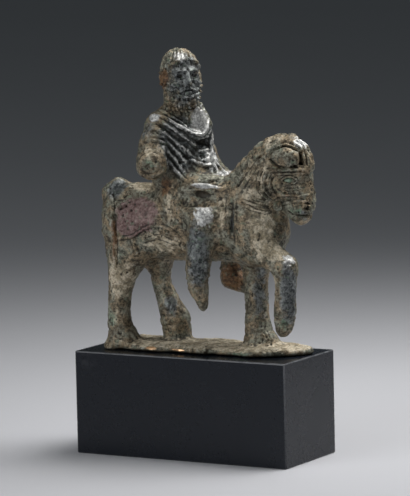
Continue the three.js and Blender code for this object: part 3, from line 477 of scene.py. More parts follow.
horseCarving = {
    "earRim": ([(29.0, -6.4, 65.6), (29.4, -6.3, 67.2), (31.4, -5.9, 68.9), (33.2, -4.5, 69.7),
        (35.3, -3.7, 69.7), (37.3, -3.2, 69.0), (39.0, -2.4, 68.2)], 0.6, 0.35),
    "earRimGroove": ([(29.1, -6.4, 66.0), (31.4, -5.9, 68.1), (33.2, -4.5, 68.9), (35.3, -3.7, 68.9),
        (37.3, -3.2, 68.2), (38.8, -2.7, 67.4)], 0.7, -0.55),
    "earUnder": ([(29.3, -6.2, 65.2), (31.4, -6.1, 63.5), (33.4, -5.7, 62.4), (35.9, -5.7, 62.1),
        (38.0, -4.8, 62.4), (39.1, -3.4, 63.1)], 0.75, -0.6),
    "earGap": ([(39.3, -2.4, 67.6), (39.7, -3.0, 65.4), (39.6, -3.0, 62.7)], 1.0, -1.0),
    "forelock": ([(36.8, -0.9, 71.3), (38.5, -0.6, 70.2), (40.5, -1.0, 67.8), (41.3, -1.3, 64.6),
        (42.0, -1.7, 62.2)], 0.55, 0.4),
    "forelockSide": ([(37.6, -2.2, 69.9), (39.8, -2.0, 68.0), (40.6, -2.4, 65.4),
        (40.9, -2.8, 62.6)], 0.5, 0.4),
    "browband": ([(28.6, -6.6, 61.0), (30.1, -6.6, 61.2), (33.5, -5.9, 61.5), (36.6, -5.0, 61.5),
        (39.0, -3.9, 61.7), (41.2, -2.2, 61.6)], 0.75, 0.38),
    "browbandLow": ([(30.7, -6.3, 59.7), (33.4, -5.8, 60.2), (36.3, -4.4, 60.2), (39.0, -4.0, 60.5),
        (41.3, -2.2, 60.4)], 0.5, 0.3),
    "upperLid": ([(33.3, -4.9, 57.9), (34.4, -4.8, 58.9), (36.1, -4.5, 59.3), (37.7, -4.4, 59.0),
        (38.8, -3.9, 58.0)], 0.45, 0.36),
    "lowerLid": ([(33.4, -4.9, 57.7), (34.4, -4.7, 57.1), (35.9, -4.5, 56.8), (37.6, -4.3, 57.1),
        (38.8, -3.9, 57.9)], 0.42, 0.3),
    "jowlOuter": ([(27.6, -6.7, 62.6), (26.4, -7.0, 60.5), (25.7, -7.1, 57.8), (25.9, -7.1, 55.6),
        (27.0, -6.6, 53.4), (29.0, -5.4, 51.4)], 0.65, 0.42),
    "jowlMiddle": ([(29.4, -6.7, 61.6), (28.2, -6.8, 59.6), (27.7, -6.7, 57.0), (28.0, -6.4, 54.9),
        (29.0, -5.7, 53.1), (30.5, -4.5, 51.6)], 0.6, 0.4),
    "jowlInner": ([(31.2, -6.3, 60.2), (30.2, -6.6, 58.4), (29.9, -6.4, 56.4), (30.3, -5.9, 54.6),
        (31.6, -4.9, 52.9)], 0.55, 0.36),
    "nosebandUpper": ([(32.9, -5.0, 53.2), (33.7, -4.7, 53.1), (36.9, -4.5, 53.2), (39.5, -3.8, 53.1),
        (42.2, -1.8, 53.5)], 0.6, 0.4),
    "nosebandLower": ([(32.8, -4.6, 50.1), (33.5, -4.2, 50.4), (36.3, -4.1, 51.2), (39.1, -3.9, 51.5),
        (42.2, -2.0, 51.1)], 0.6, 0.42),
    "cheekBone": ([(33.9, -5.2, 55.9), (35.4, -4.6, 54.9), (38.2, -4.1, 55.2),
        (40.0, -3.4, 55.9)], 0.6, 0.25),
    "nostrilRim": ([(40.0, -3.3, 48.9), (40.4, -3.2, 50.0), (41.4, -2.3, 50.4), (42.3, -1.5, 49.4),
        (41.7, -2.1, 48.0), (40.6, -3.1, 47.9)], 0.45, 0.35),
    "mouth": ([(34.2, -3.4, 47.9), (36.8, -3.3, 46.7), (39.3, -3.1, 46.4),
        (41.6, -1.6, 46.6)], 0.5, -0.45),
    "reinUpper": ([(31.2, -5.9, 50.0), (28.0, -5.9, 49.2), (25.2, -7.4, 49.8), (22.3, -8.3, 50.9),
        (19.6, -8.6, 51.8)], 0.55, 0.38),
    "reinLower": ([(30.9, -5.0, 48.0), (28.6, -5.4, 47.4), (26.2, -7.0, 47.8), (24.1, -8.1, 48.7),
        (21.4, -8.6, 50.0), (19.3, -8.7, 50.6)], 0.55, 0.38),
    "reinFold": ([(29.0, -5.2, 51.4), (26.9, -6.5, 51.1), (24.5, -7.6, 52.2),
        (22.2, -8.0, 53.4)], 0.5, 0.25),
    "breastStrapRear": ([(15.2, -8.3, 52.6), (15.6, -9.0, 49.6), (16.1, -10.4, 45.7), (16.7, -11.0, 41.6),
        (16.8, -10.9, 38.2)], 0.6, 0.35),
    "breastStrapFront": ([(18.0, -8.6, 51.8), (18.3, -9.4, 48.7), (18.7, -10.1, 44.7),
        (18.9, -10.2, 40.6), (19.0, -10.0, 37.2)], 0.55, 0.3),
    "strapGroove": ([(16.8, -8.6, 51.4), (17.3, -9.5, 47.7), (17.6, -10.3, 43.4),
        (17.7, -10.4, 40.4)], 0.8, -0.35),
    "maneEdge": ([(17.6, -7.4, 54.8), (19.2, -7.2, 57.3), (21.9, -6.5, 61.3), (24.6, -5.8, 64.5),
        (28.0, -5.2, 67.5)], 0.7, -0.35),
    "neckLine": ([(19.0, -7.6, 54.0), (21.4, -7.4, 57.4), (23.6, -7.0, 60.4),
        (25.6, -6.6, 63.2)], 0.55, 0.25),
    "neckLineLow": ([(20.6, -8.0, 53.4), (22.8, -7.6, 56.6), (24.2, -7.3, 59.6),
        (25.8, -6.9, 62.0)], 0.5, 0.22),
    "clothHem": ([(-28.6, -9.9, 37.4), (-24.0, -10.7, 37.7), (-20.3, -10.2, 37.9), (-18.0, -10.3, 39.5),
        (-15.3, -9.8, 41.2), (-11.9, -10.1, 42.1), (-8.1, -10.1, 41.9), (-5.1, -10.1, 40.7),
        (-2.3, -9.9, 38.1), (-0.6, -9.4, 36.4)], 0.7, 0.32),
    "bellyRoll": ([(-17.1, -8.9, 36.7), (-14.4, -8.8, 37.5), (-11.6, -9.1, 38.3), (-9.3, -9.0, 37.9),
        (-6.9, -8.8, 36.8), (-3.9, -8.5, 36.0)], 0.9, 0.4),
    "thighCrease": ([(-20.8, -10.3, 37.4), (-20.2, -9.4, 35.0), (-19.4, -8.5, 32.0)], 0.7, 0.22),
    "tailGroove": ([(-29.6, -7.0, 51.0), (-28.0, -9.4, 47.6), (-26.9, -10.8, 43.6), (-26.8, -10.7, 36.9),
        (-26.6, -10.8, 31.9), (-26.9, -10.6, 26.8)], 0.95, -0.65),
    "knobEdge": ([(-31.6, -4.6, 52.2), (-28.6, -7.6, 50.0), (-25.6, -8.7, 50.1),
        (-23.8, -6.8, 52.4)], 1.2, -0.35),
    "rumpDent": ([(-25.8, -10.3, 47.1), (-24.1, -10.3, 47.5), (-22.2, -9.7, 48.5)], 0.75, -0.5),
    "rumpDentBrow": ([(-25.6, -10.0, 48.4), (-24.0, -9.9, 49.0), (-22.4, -9.4, 49.5)], 0.7, 0.25),
    "hindBorder": ([(-29.3, -9.7, 26.0), (-25.4, -10.3, 26.2), (-22.2, -8.7, 26.4)], 0.5, 0.14),
}
horseHollows = [
    ((34.2, -5.9, 62.6), (0.7, 1.4, 0.9), 0.55),
    ((37.7, -4.9, 62.8), (0.7, 1.4, 0.9), 0.55),
    ((41.3, -2.6, 49.0), (0.9, 1.5, 0.9), 0.8),
    ((33.6, -5.6, 56.0), (1.6, 1.6, 1.0), 0.25),
]
horseSwells = [
    ((36.1, -4.6, 58.1), (2.1, 1.8, 0.95), 0.4),
    ((31.8, -5.2, 49.4), (1.7, 2.2, 1.8), 0.5),
    ((34.2, -5.0, 65.2), (4.2, 2.6, 2.6), 0.25),
]
pasterns = [  # the ring above each hoof: middle, reach
    ((19.0, 4.2, 6.6), 6.4),
    ((-28.4, -5.4, 7.0), 6.4),
    ((-13.2, 5.0, 7.4), 6.4),
    ((33.9, -6.0, 13.4), 6.0),
]

# the rider's head, in his own axes: l to his left, f forwards, heights from the bronze's underside
face = {
    "hairline": 96.4,
    "brow": 92.9,
    "eye": 91.2,
    "eyeOut": 2.3,  # from the middle to the middle of each eye
    "eyeHalf": 1.5,
    "noseTip": 89.0,
    "noseBase": 88.3,
    "mouth": 86.5,
    "mouthHalf": 1.6,
}


def carveFace(points):
    # calm, regular features on the usual thirds, worked on the front of the head
    l, f = riderAxes(points)
    z = points[:, 2]
    side = np.abs(l)
    front = smoothStep(f, 2.2, 4.4) * smoothStep(6.0 - side, 0, 1.4)
    front = front * smoothStep(z, 81.5, 84) * smoothStep(97 - z, 0, 1.2)
    h = np.zeros(len(points))
    browLine = face["brow"] - 0.2 + 0.5 * np.clip(1 - ((side - 2.3) / 2.4) ** 2, -1, 1)
    h += 0.6 * bump(z - browLine, 0.75) * smoothStep(5.2 - side, 0, 1.2) * smoothStep(side, 0.1, 0.9)
    across = (side - face["eyeOut"]) / face["eyeHalf"]
    lidTop = face["eye"] + 0.72 * np.clip(1 - across**2, 0, 1)
    lidLow = face["eye"] - 0.5 * np.clip(1 - across**2, 0, 1)
    within = smoothStep(1.15 - np.abs(across), 0, 0.22)
    h -= 0.85 * bump(np.hypot((side - face["eyeOut"]) / 2.2, (z - face["eye"]) / 1.5), 1.0)
    h += 0.55 * np.clip(1 - across**2 - ((z - face["eye"] - 0.1) / 0.66) ** 2, 0, 1) ** 0.5 * within
    h += 0.5 * bump(z - lidTop - 0.18, 0.4) * within
    h += 0.4 * bump(z - lidLow + 0.16, 0.36) * within
    down = np.clip((face["brow"] - 0.4 - z) / (face["brow"] - 0.4 - face["noseTip"]), 0, 1)
    underNose = smoothStep(z, face["noseBase"] - 0.25, face["noseBase"] + 0.25)
    h += (0.45 + 0.75 * down) * bump(l, 0.75 + 0.35 * down) * underNose * smoothStep(face["brow"] - z, 0, 1.2)
    h += 0.45 * bump(np.hypot((side - 0.9) / 0.6, (z - face["noseTip"] + 0.1) / 0.65), 1.0)
    h -= 0.35 * bump(np.hypot((side - 1.8) / 0.7, (z - face["noseTip"]) / 1.5), 1.0)
    h += 0.4 * bump(np.hypot((side - 3.2) / 1.6, (z - 89.0) / 1.8), 1.0)
    wide = smoothStep(face["mouthHalf"] + 0.2 - side, 0, 0.8)
    h -= 0.4 * bump(z - face["mouth"], 0.34) * wide
    h += 0.42 * bump(z - face["mouth"] + 0.6, 0.55) * smoothStep(1.5 - side, 0, 0.9)
    droop = 87.5 - 0.4 * side
    moustache = 0.6 * bump(z - droop, 0.65) * smoothStep(side, 0.05, 0.4) * smoothStep(3.7 - side, 0, 1.0)
    h += moustache * (1 + 0.35 * np.sin(side * 7.5 + z * 2))
    return points + (h * front)[:, None] * riderFront


def beardAndHair(points):
    l, f = riderAxes(points)
    z = points[:, 2]
    side = np.abs(l)
    aroundHead = smoothStep(8.8 - np.linalg.norm(np.stack([l, f - 0.6, (z - 91) * 0.85], 1), axis=1), 0, 1)
    # a full beard: rows of short curls, each wound like a snail
    beardTop = 85.2 + 4.4 * smoothStep(side, 2.0, 5.0)
    beard = smoothStep(beardTop - z, 0, 0.7) * smoothStep(f, -1.2, 1.0) * smoothStep(z, 78.8, 80.2)
    beard *= smoothStep(8.6 - np.hypot(l * 1.2, f - 2.5), 0, 1)
    tilt = (z - 0.3 * side) / casting["curl"]
    row = np.floor(tilt)
    arc = np.arctan2(l, f + 1.2) * casting["beardRadius"] / casting["curl"] + 0.5 * (row % 2)
    du = arc - np.floor(arc) - 0.5
    dv = tilt - row - 0.5
    radius = np.hypot(du, dv)
    wound = np.cos(np.arctan2(dv, du * np.where(l > 0, 1, -1)) - radius * 9)
    curls = 0.75 * bump(radius, 0.66) + 0.22 * wound * bump(radius, 0.6)
    h = beard * (1.15 * curls - 0.1)
    # hair combed forward from the crown, ending in a thick fringe over the forehead
    lift = 0.69 * (f - 5.9) - 0.72 * (z - 96)  # below 0 is under the hair
    capArea = smoothStep(-lift, -0.2, 0.4) * smoothStep(z, 86.0, 88.5) * aroundHead
    crownL, crownF = l + 1.2, f + 2.2
    out = np.hypot(crownL, crownF)
    sweep = np.arctan2(crownL, crownF) * 12 + 0.62 * out + 0.6 * np.sin(out * 0.9) + 0.2 * np.sin(z * 0.9)
    locks = 0.32 * folds(sweep) + 0.2 * np.sin(sweep * 0.5 + 1) + 0.08 * np.sin(sweep * 5)
    smoothPatch = 1 - 0.7 * bump(np.hypot((l + 4.2) / 3.0, (z - 96.4) / 3.0), 1.0) * smoothStep(f, 0.0, 2.0)
    crown = smoothStep(100.1 - z, 0, 1.6)  # nothing stands above the crown
    h += (-0.2 + locks * smoothPatch * smoothStep(out, 0.2, 1.6)) * capArea * crown
    fringe = bump(lift + 0.75, 1.05) * smoothStep(z, 90.5, 92.5) * smoothStep(f, 0, 2.5) * aroundHead
    h += fringe * (0.62 + 0.3 * folds(sweep * 0.8 + 0.9)) * crown
    # ears: a rim and a hollow
    ear = np.hypot((f - 0.2) / 1.3, (z - 90.6) / 2.1)
    onSide = smoothStep(side, 4.4, 5.4) * aroundHead
    h += (0.65 * bump(ear - 0.85, 0.45) - 0.6 * bump(ear, 0.6)) * onSide
    return h


def addStrokes(h, points, carving, relief, taper, share=1.0):
    # ridges and grooves, and the ground falls away beside each ridge
    gain, sink, spread = relief
    for path, width, height in carving.values():
        h += gain * share * stroke(points, path, width, height, taper)
        if height > 0:
            h -= sink * share * stroke(points, path, width * spread, height, taper)


def carveRider(points):
    h = np.zeros(len(points))
    addStrokes(h, points, riderCarving, casting["riderRelief"], 0.12)
    for centre, radii, depth in riderHollows:
        h -= depth * blob(points, centre, radii)
    for (x, y, z), reach in legBands:
        near = smoothStep(reach + 0.6 - np.hypot(points[:, 0] - x, points[:, 1] - y), 0, 0.6)
        level = points[:, 2] - z - 0.1 * (points[:, 0] - x)
        h += near * (0.3 * bump(level, 0.5) - 0.22 * bump(level + 0.9, 0.6))
    # the cloak hangs in plain folds down the back and round the covered arm
    l, f = riderAxes(points)
    z = points[:, 2]
    raised, pitch = casting["foldHeight"], casting["foldPitch"]
    behind = smoothStep(-f, -1.0, 1.5) * smoothStep(z, 56.5, 60) * smoothStep(79 - z, 0, 3)
    onRider = smoothStep(11 - np.hypot(l, f), 0, 1.5)
    h += raised * folds(l * pitch + 0.5 + 0.03 * (80 - z)) * behind * onRider
    covered = smoothStep(l, 5.6, 7.2) * smoothStep(z, 58, 61) * smoothStep(77 - z, 0, 3) * onRider
    h += raised * folds((points[:, 0] * 0.7 + z) * pitch) * covered
    return h + beardAndHair(points)


def carveHorse(points):
    h = np.zeros(len(points))
    for mirror, share in ((1, 1.0), (-1, casting["leftShare"])):
        q = points * (1, mirror, 1)
        addStrokes(h, q, horseCarving, casting["horseRelief"], 0.1, share)
        for centre, radii, depth in horseHollows:
            h -= share * depth * blob(q, centre, radii)
        for centre, radii, depth in horseSwells:
            h += share * depth * blob(q, centre, radii)
        # short strokes hang below the cloth's hem
        path = rounded(horseCarving["clothHem"][0])
        inside = np.all((q > path.min(0) - 3) & (q < path.max(0) + 3), axis=1)
        gap, along = alongPath(q[inside], path)
        below = smoothStep(q[inside, 2] - np.interp(q[inside, 0], path[:, 0], path[:, 2]), 0.2, -0.4)
        comb = np.abs(np.sin(along * 66)) ** 0.8 - 0.55
        band = bump(gap - 1.5, 1.5) * below * smoothStep(along, 0.34, 0.44)
        h[inside] += share * 0.75 * comb * band
    x, y, z = points.T
    # the mane: short strokes across the roached crest
    crest = rounded([(12, 0, 50.4), (17, 0, 57), (22.3, 0, 62.4),
                     (28.4, 0, 67.4), (33.3, 0, 68.3), (36.5, 0, 66)])
    near = np.all((points > crest.min(0) - 8) & (points < crest.max(0) + 8), axis=1)
    gap, along = alongPath(points[near] * (1, 0.8, 1), crest)
    hair = smoothStep(6.0 - gap, 0, 1.6) * smoothStep(z[near] - 50, 0, 3)
    middle = np.arctan2(z[near] - 52, x[near] - 26)
    ear = blob(points[near] * (1, 0, 1), (34.5, 0, 64.8), (6.6, 9, 4.2))
    toEar = 1 - smoothStep(ear, 0.0, 0.2) * smoothStep(np.abs(y[near]), 1.4, 2.6)
    h[near] += 0.24 * folds(middle * 15 + np.abs(y[near]) * 0.22 + 0.3 * np.sin(along * 40)) * hair * toEar
    # the tail's strands, and rings above the hooves
    tail = smoothStep(-30.6 - x, 0, 1.2) * smoothStep(z, 4, 8) * smoothStep(50 - z, 0, 3)
    h += 0.22 * folds((y + 0.05 * z) * 1.5) * tail
    for (cx, cy, cz), reach in pasterns:
        ring = smoothStep(reach - np.hypot(x - cx, y - cy), 0, 0.8)
        h -= 0.25 * bump(z - cz - 0.15 * (x - cx), 0.8) * ring
    return h


def castSkin(points, normals):
    # the uneven skin of an old casting: swells, a rough crust and pits, none under the base plate
    wornAndSheen = sum(blob(points, c, r) for c, r in wornAndSheenPlaces)
    rough = 1 - 0.75 * np.clip(wornAndSheen, 0, 1)
    h = casting["roughCast"] * layeredNoise(points, 2.6, 3) * rough
    crust = layeredNoise(points, 1.1, 2, 11.0)
    h += 0.14 * smoothStep(crust, 0.0, 0.4) * rough
    pits = noiseAt(points, 0.9, 5.0) + 0.5 * noiseAt(points, 3.0, 9.0)
    h -= casting["pitDepth"] * smoothStep(pits, 0.5, 0.9) * rough
    broken = blob(points, (-9.6, -16.4, 62.6), (4.4, 3.0, 4.6))
    h += 0.35 * layeredNoise(points, 1.5, 2, 2.0) * smoothStep(broken, 0, 0.4)
    inGroove = stroke(points, horseCarving["tailGroove"][0], 1.3, 1.0, 0)
    h -= 0.45 * inGroove * smoothStep(noiseAt(points, 1.6, 21.0), 0.0, 0.4)
    plate = smoothStep(3.6 - points[:, 2], 0, 1.0)
    h += plate * 0.16 * layeredNoise(points, 5.5, 3, 31.0) * (0.5 + 0.5 * (normals[:, 2] < 0.5))
    return h


wornAndSheenPlaces = [  # rubbed smooth by handling, and lightened in the finish as a painted sheen
    ((1.4, -1.6, 76.6), (4.2, 4.6, 6.2)),
    ((4.4, 0.6, 64.0), (3.0, 3.6, 6.0)),
    ((-10.6, -10.6, 77.8), (2.8, 2.4, 1.6)),
    ((7.0, -9.2, 55.9), (7.0, 2.2, 1.4)),
    ((9.0, -13.0, 46.6), (4.6, 4.0, 4.8)),
    ((-4.4, -3.5, 97.0), (3.6, 3.6, 2.6)),
    ((38.2, -0.5, 70.0), (3.4, 3.0, 3.0)),
    ((9.6, -0.6, 59.2), (4.6, 4.0, 2.4)),
    ((37.2, -7.8, 32.8), (2.8, 2.6, 2.6)),
]


def pressedPlain(piece):
    # the coarse folds of the casting's solid are rubbed down before the real ones are carved
    points = pointsOf(piece.data)
    l, f = riderAxes(points)
    z = points[:, 2]
    across = np.clip((l + 11.2) / 16.7, 0.02, 1.1)
    below = 80 - z - 8.5 * across**0.62
    share = smoothStep(below, 0.4, 2.0) * smoothStep(f, 0.5, 2.5)
    share = share * smoothStep(l, -8.6, -7.0) * smoothStep(6.0 - l, 0, 1.5)
    share *= smoothStep(z, 57.0, 59.0)
    share = np.maximum(share, 0.9 * blob(points, (-9.6, -16.4, 62.6), (4.6, 3.2, 4.8)) ** 0.5)
    edges = edgesOf(piece.data)
    target = averaged(points, edges, 70)
    setPoints(piece.data, points + share[:, None] * (target - points))


def refineHeads(piece):
    # both heads carry the finest work, so their mesh is split once more
    points = pointsOf(piece.data)
    l, f = riderAxes(points)
    head = (points[:, 2] > 79.5) & (np.hypot(l, f) < 9)
    horse = (points[:, 0] > 25) & (points[:, 2] > 44.5)
    chosen = head | horse
    bm = bmesh.new()
    bm.from_mesh(piece.data)
    bm.verts.ensure_lookup_table()
    edges = [e for e in bm.edges if chosen[e.verts[0].index] and chosen[e.verts[1].index]]
    bmesh.ops.subdivide_edges(bm, edges=edges, cuts=1, use_grid_fill=True)
    bm.to_mesh(piece.data)
    bm.free()


def carveCasting(piece):
    pressedPlain(piece)
    refineHeads(piece)
    mesh = piece.data
    points = pointsOf(mesh)
    under = smoothStep(points[:, 2], 0.15, 0.8)  # the sawn underside stays flat
    points = carveFace(points)
    setPoints(mesh, points)
    points = points + ((carveRider(points) + carveHorse(points)) * under)[:, None] * normalsOf(mesh)
    setPoints(mesh, points)
    points = averaged(points, edgesOf(mesh), 1, 0.35)
    setPoints(mesh, points)
    normals = normalsOf(mesh)
    points = points + (castSkin(points, normals) * under)[:, None] * normals
    setPoints(mesh, points)
    thinner = piece.modifiers.new("thinner", "DECIMATE")
    faces = sum(len(p.vertices) - 2 for p in mesh.polygons)
    thinner.ratio = min(1.0, casting["triangles"] / faces)
    thinner.use_collapse_triangulate = True
    applyModifiers(piece)
    low, high = (np.array(c) / mm - (0, 0, plinthTop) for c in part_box("horse_and_rider"))
    points = np.clip(pointsOf(piece.data), low, high)
    points[points[:, 2] < 0.2, 2] = 0
    setPoints(piece.data, points)


carveCasting(bronzePiece)
bronzePiece.data.shade_smooth()
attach(bronzePiece, "root")
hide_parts("horse_and_rider")
print("stage: carved casting,", len(bronzePiece.data.polygons), "triangles")

# the bronze's finish: where each colour of the old surface lies, as centre and
# radii in millimetres, and how strong it is

tintPlaces = {
    "earth": [  # tan burial earth
        ((29.0, -8.5, 38.0), (9.0, 6.0, 10.0), 1.0), ((26.0, -8.0, 47.5), (9.0, 5.0, 9.0), 0.8),
        ((34.5, -8.0, 34.5), (6.0, 4.0, 3.6), 1.1), ((24.0, -7.0, 60.0), (9.0, 6.0, 9.0), 0.7),
        ((-24.0, -9.0, 26.0), (8.0, 6.0, 10.0), 0.5), ((31.6, -8.6, 24.0), (2.4, 5.0, 8.0), 0.9),
        ((-9.0, -8.5, 36.0), (11.0, 6.0, 6.0), 0.9), ((-26.5, -9.0, 20.0), (6.5, 7.0, 24.0), 0.65),
        ((-18.0, -3.0, 54.4), (9.0, 7.0, 2.6), 1.1), ((-5.6, -10.5, 49.0), (3.2, 4.0, 9.0), 0.8),
        ((14.0, -9.6, 46.0), (4.0, 4.0, 10.0), 0.8), ((-9.2, -15.0, 66.6), (5.4, 6.0, 4.0), 0.9),
        ((29.5, -3.5, 70.5), (7.0, 5.0, 4.0), 0.7), ((-15.0, 4.0, 22.0), (6.0, 6.0, 18.0), 0.45),
        ((19.0, 2.0, 12.0), (6.0, 6.0, 12.0), 0.4), ((0.0, 10.0, 44.0), (26.0, 8.0, 14.0), 0.5),
        ((27.0, 8.0, 48.0), (12.0, 6.0, 14.0), 0.5), ((-26.0, 8.0, 36.0), (8.0, 8.0, 20.0), 0.5),
    ],
    "maroon": [
        ((-18.5, -9.5, 45.5), (10.5, 6.0, 8.0), 1.1), ((-22.0, -9.0, 41.0), (6.0, 6.0, 5.0), 0.8),
        ((-24.0, 9.5, 42.0), (7.0, 5.0, 6.0), 0.7),
    ],
    "rust": [
        ((7.0, 9.0, 24.0), (7.0, 7.0, 7.0), 1.1), ((-7.6, -9.2, 55.0), (3.6, 5.0, 5.5), 0.9),
        ((-9.0, -6.6, 90.0), (3.6, 4.0, 5.0), 1.1), ((36.0, -5.0, 53.0), (4.4, 3.0, 2.2), 0.6),
        ((30.0, -6.4, 60.4), (3.0, 3.0, 2.4), 0.5), ((-27.0, -10.6, 36.0), (1.8, 3.0, 15.0), 0.9),
        ((-32.0, -3.0, 44.0), (3.0, 5.0, 9.0), 0.5), ((-14.0, 2.0, 26.0), (4.0, 5.0, 6.0), 0.5),
    ],
    "slate": [
        ((-2.5, -3.5, 89.5), (9.5, 9.5, 12.5), 0.95), ((7.0, -14.5, 34.0), (5.4, 6.0, 17.0), 1.0),
        ((-29.5, -4.0, 53.0), (5.6, 7.0, 5.0), 1.0), ((37.0, -8.0, 22.0), (4.0, 5.5, 15.0), 1.0),
        ((21.8, 0.2, 20.0), (4.0, 5.0, 16.0), 0.8), ((-13.0, 1.5, 14.0), (4.0, 4.0, 6.5), 0.8),
        ((-12.4, -12.4, 74.0), (4.6, 5.0, 6.0), 0.6), ((17.6, -10.2, 45.0), (1.2, 2.5, 7.0), 0.9),
        ((40.0, -3.0, 47.0), (3.6, 3.6, 3.0), 0.7), ((-1.0, -4.0, 69.0), (7.0, 7.0, 9.0), 0.45),
        ((7.0, 12.0, 38.0), (6.0, 5.0, 16.0), 0.8), ((-2.0, 6.0, 72.0), (8.0, 8.0, 10.0), 0.5),
    ],
    "cloth": [
        ((-3.0, -7.0, 69.0), (10.5, 9.0, 13.0), 1.1), ((4.6, 0.4, 67.0), (5.0, 5.0, 12.0), 1.0),
        ((-3.0, 5.0, 70.0), (10.0, 7.0, 12.0), 0.7),
    ],
    "green": [
        ((36.0, -4.8, 58.2), (2.8, 2.2, 1.4), 1.1), ((37.6, -4.2, 48.0), (3.6, 3.4, 2.6), 0.8),
        ((38.0, -4.6, 55.0), (3.0, 3.0, 1.6), 0.6), ((32.0, -5.6, 49.5), (2.0, 2.6, 2.0), 0.7),
        ((-9.6, -17.2, 63.0), (4.2, 3.0, 4.2), 0.7), ((20.0, -10.5, 1.6), (20.0, 5.0, 2.6), 0.7),
        ((-29.6, -8.6, 10.0), (3.2, 4.0, 7.0), 0.7), ((35.0, -9.0, 11.0), (3.4, 4.0, 4.0), 0.7),
        ((24.0, -9.6, 34.0), (4.0, 4.0, 4.0), 0.5), ((8.0, -14.0, 26.0), (4.0, 4.0, 8.0), 0.4),
        ((20.0, -7.6, 58.0), (6.0, 4.0, 8.0), 0.35), ((36.0, 4.8, 54.0), (5.0, 3.0, 6.0), 0.5),
        ((-20.0, 9.0, 20.0), (12.0, 6.0, 14.0), 0.4),
    ],
    "gold": [  # bare metal scratched at the plate's edge
        ((-13.6, -11.4, 1.5), (3.0, 2.2, 0.7), 1.0), ((-4.0, -10.9, 1.2), (4.4, 2.2, 0.65), 1.0),
    ],
}


def storeValues(mesh, name, values):
    layer = mesh.attributes.new(name, "FLOAT", "POINT")
    layer.data.foreach_set("value", values.astype(np.float32))


def tintCasting(piece):
    mesh = piece.data
    points = pointsOf(mesh)
    normals = normalsOf(mesh)
    edges = edgesOf(mesh)
    for name, places in tintPlaces.items():
        total = sum(strength * blob(points, centre, radii) ** 0.5 for centre, radii, strength in places)
        if name == "earth":
            lies = smoothStep(4.2 - points[:, 2], 0, 1.2) * smoothStep(normals[:, 2], 0.3, 0.8)
            total = np.maximum(total, 1.1 * lies)
        storeValues(mesh, name, np.clip(total, 0, 1.2))
    storeValues(mesh, "wornAndSheen", np.clip(sum(blob(points, c, r) ** 0.5 for c, r in wornAndSheenPlaces), 0, 1))
    # hollows and high places, near and broad: how far the surface lies below its surroundings, in
    # millimetres; the near one places the painted shade in grooves and the painted sheen on ridges
    for name, reach, gain, soften in (("hollow", 4, 7, 1), ("deep", 40, 1.6, 3)):
        depth = ((averaged(points, edges, reach) - points) * normals).sum(1)
        storeValues(mesh, name, averaged(np.clip(depth * gain, -1, 1), edges, soften))


patina = {  # a dark and a light tone of each, or one tone
    "metal": ((0.050, 0.051, 0.038), (0.085, 0.066, 0.043)),
    "mottle": ((0.350, 0.350, 0.275), (0.430, 0.335, 0.215)),
    "slate": ((0.036, 0.041, 0.044), (0.255, 0.270, 0.265)),
    "rust": ((0.070, 0.034, 0.016), (0.290, 0.170, 0.085)),
    "maroon": ((0.110, 0.058, 0.052), (0.330, 0.235, 0.215)),
    "green": ((0.060, 0.100, 0.066), (0.260, 0.350, 0.250)),
    "earth": ((0.360, 0.300, 0.200), (0.720, 0.630, 0.480)),
    # the light grey of rubbed metal, made lighter still as a painted sheen
    "wornAndSheen": ((0.340, 0.340, 0.330), (0.740, 0.740, 0.720)),
    "flecks": (0.170, 0.240, 0.165),
    # painted shade laid in the sharp grooves
    "groove": (0.020, 0.017, 0.013),
    "dirt": (0.030, 0.026, 0.020),
    "gold": (0.95, 0.62, 0.36),
}


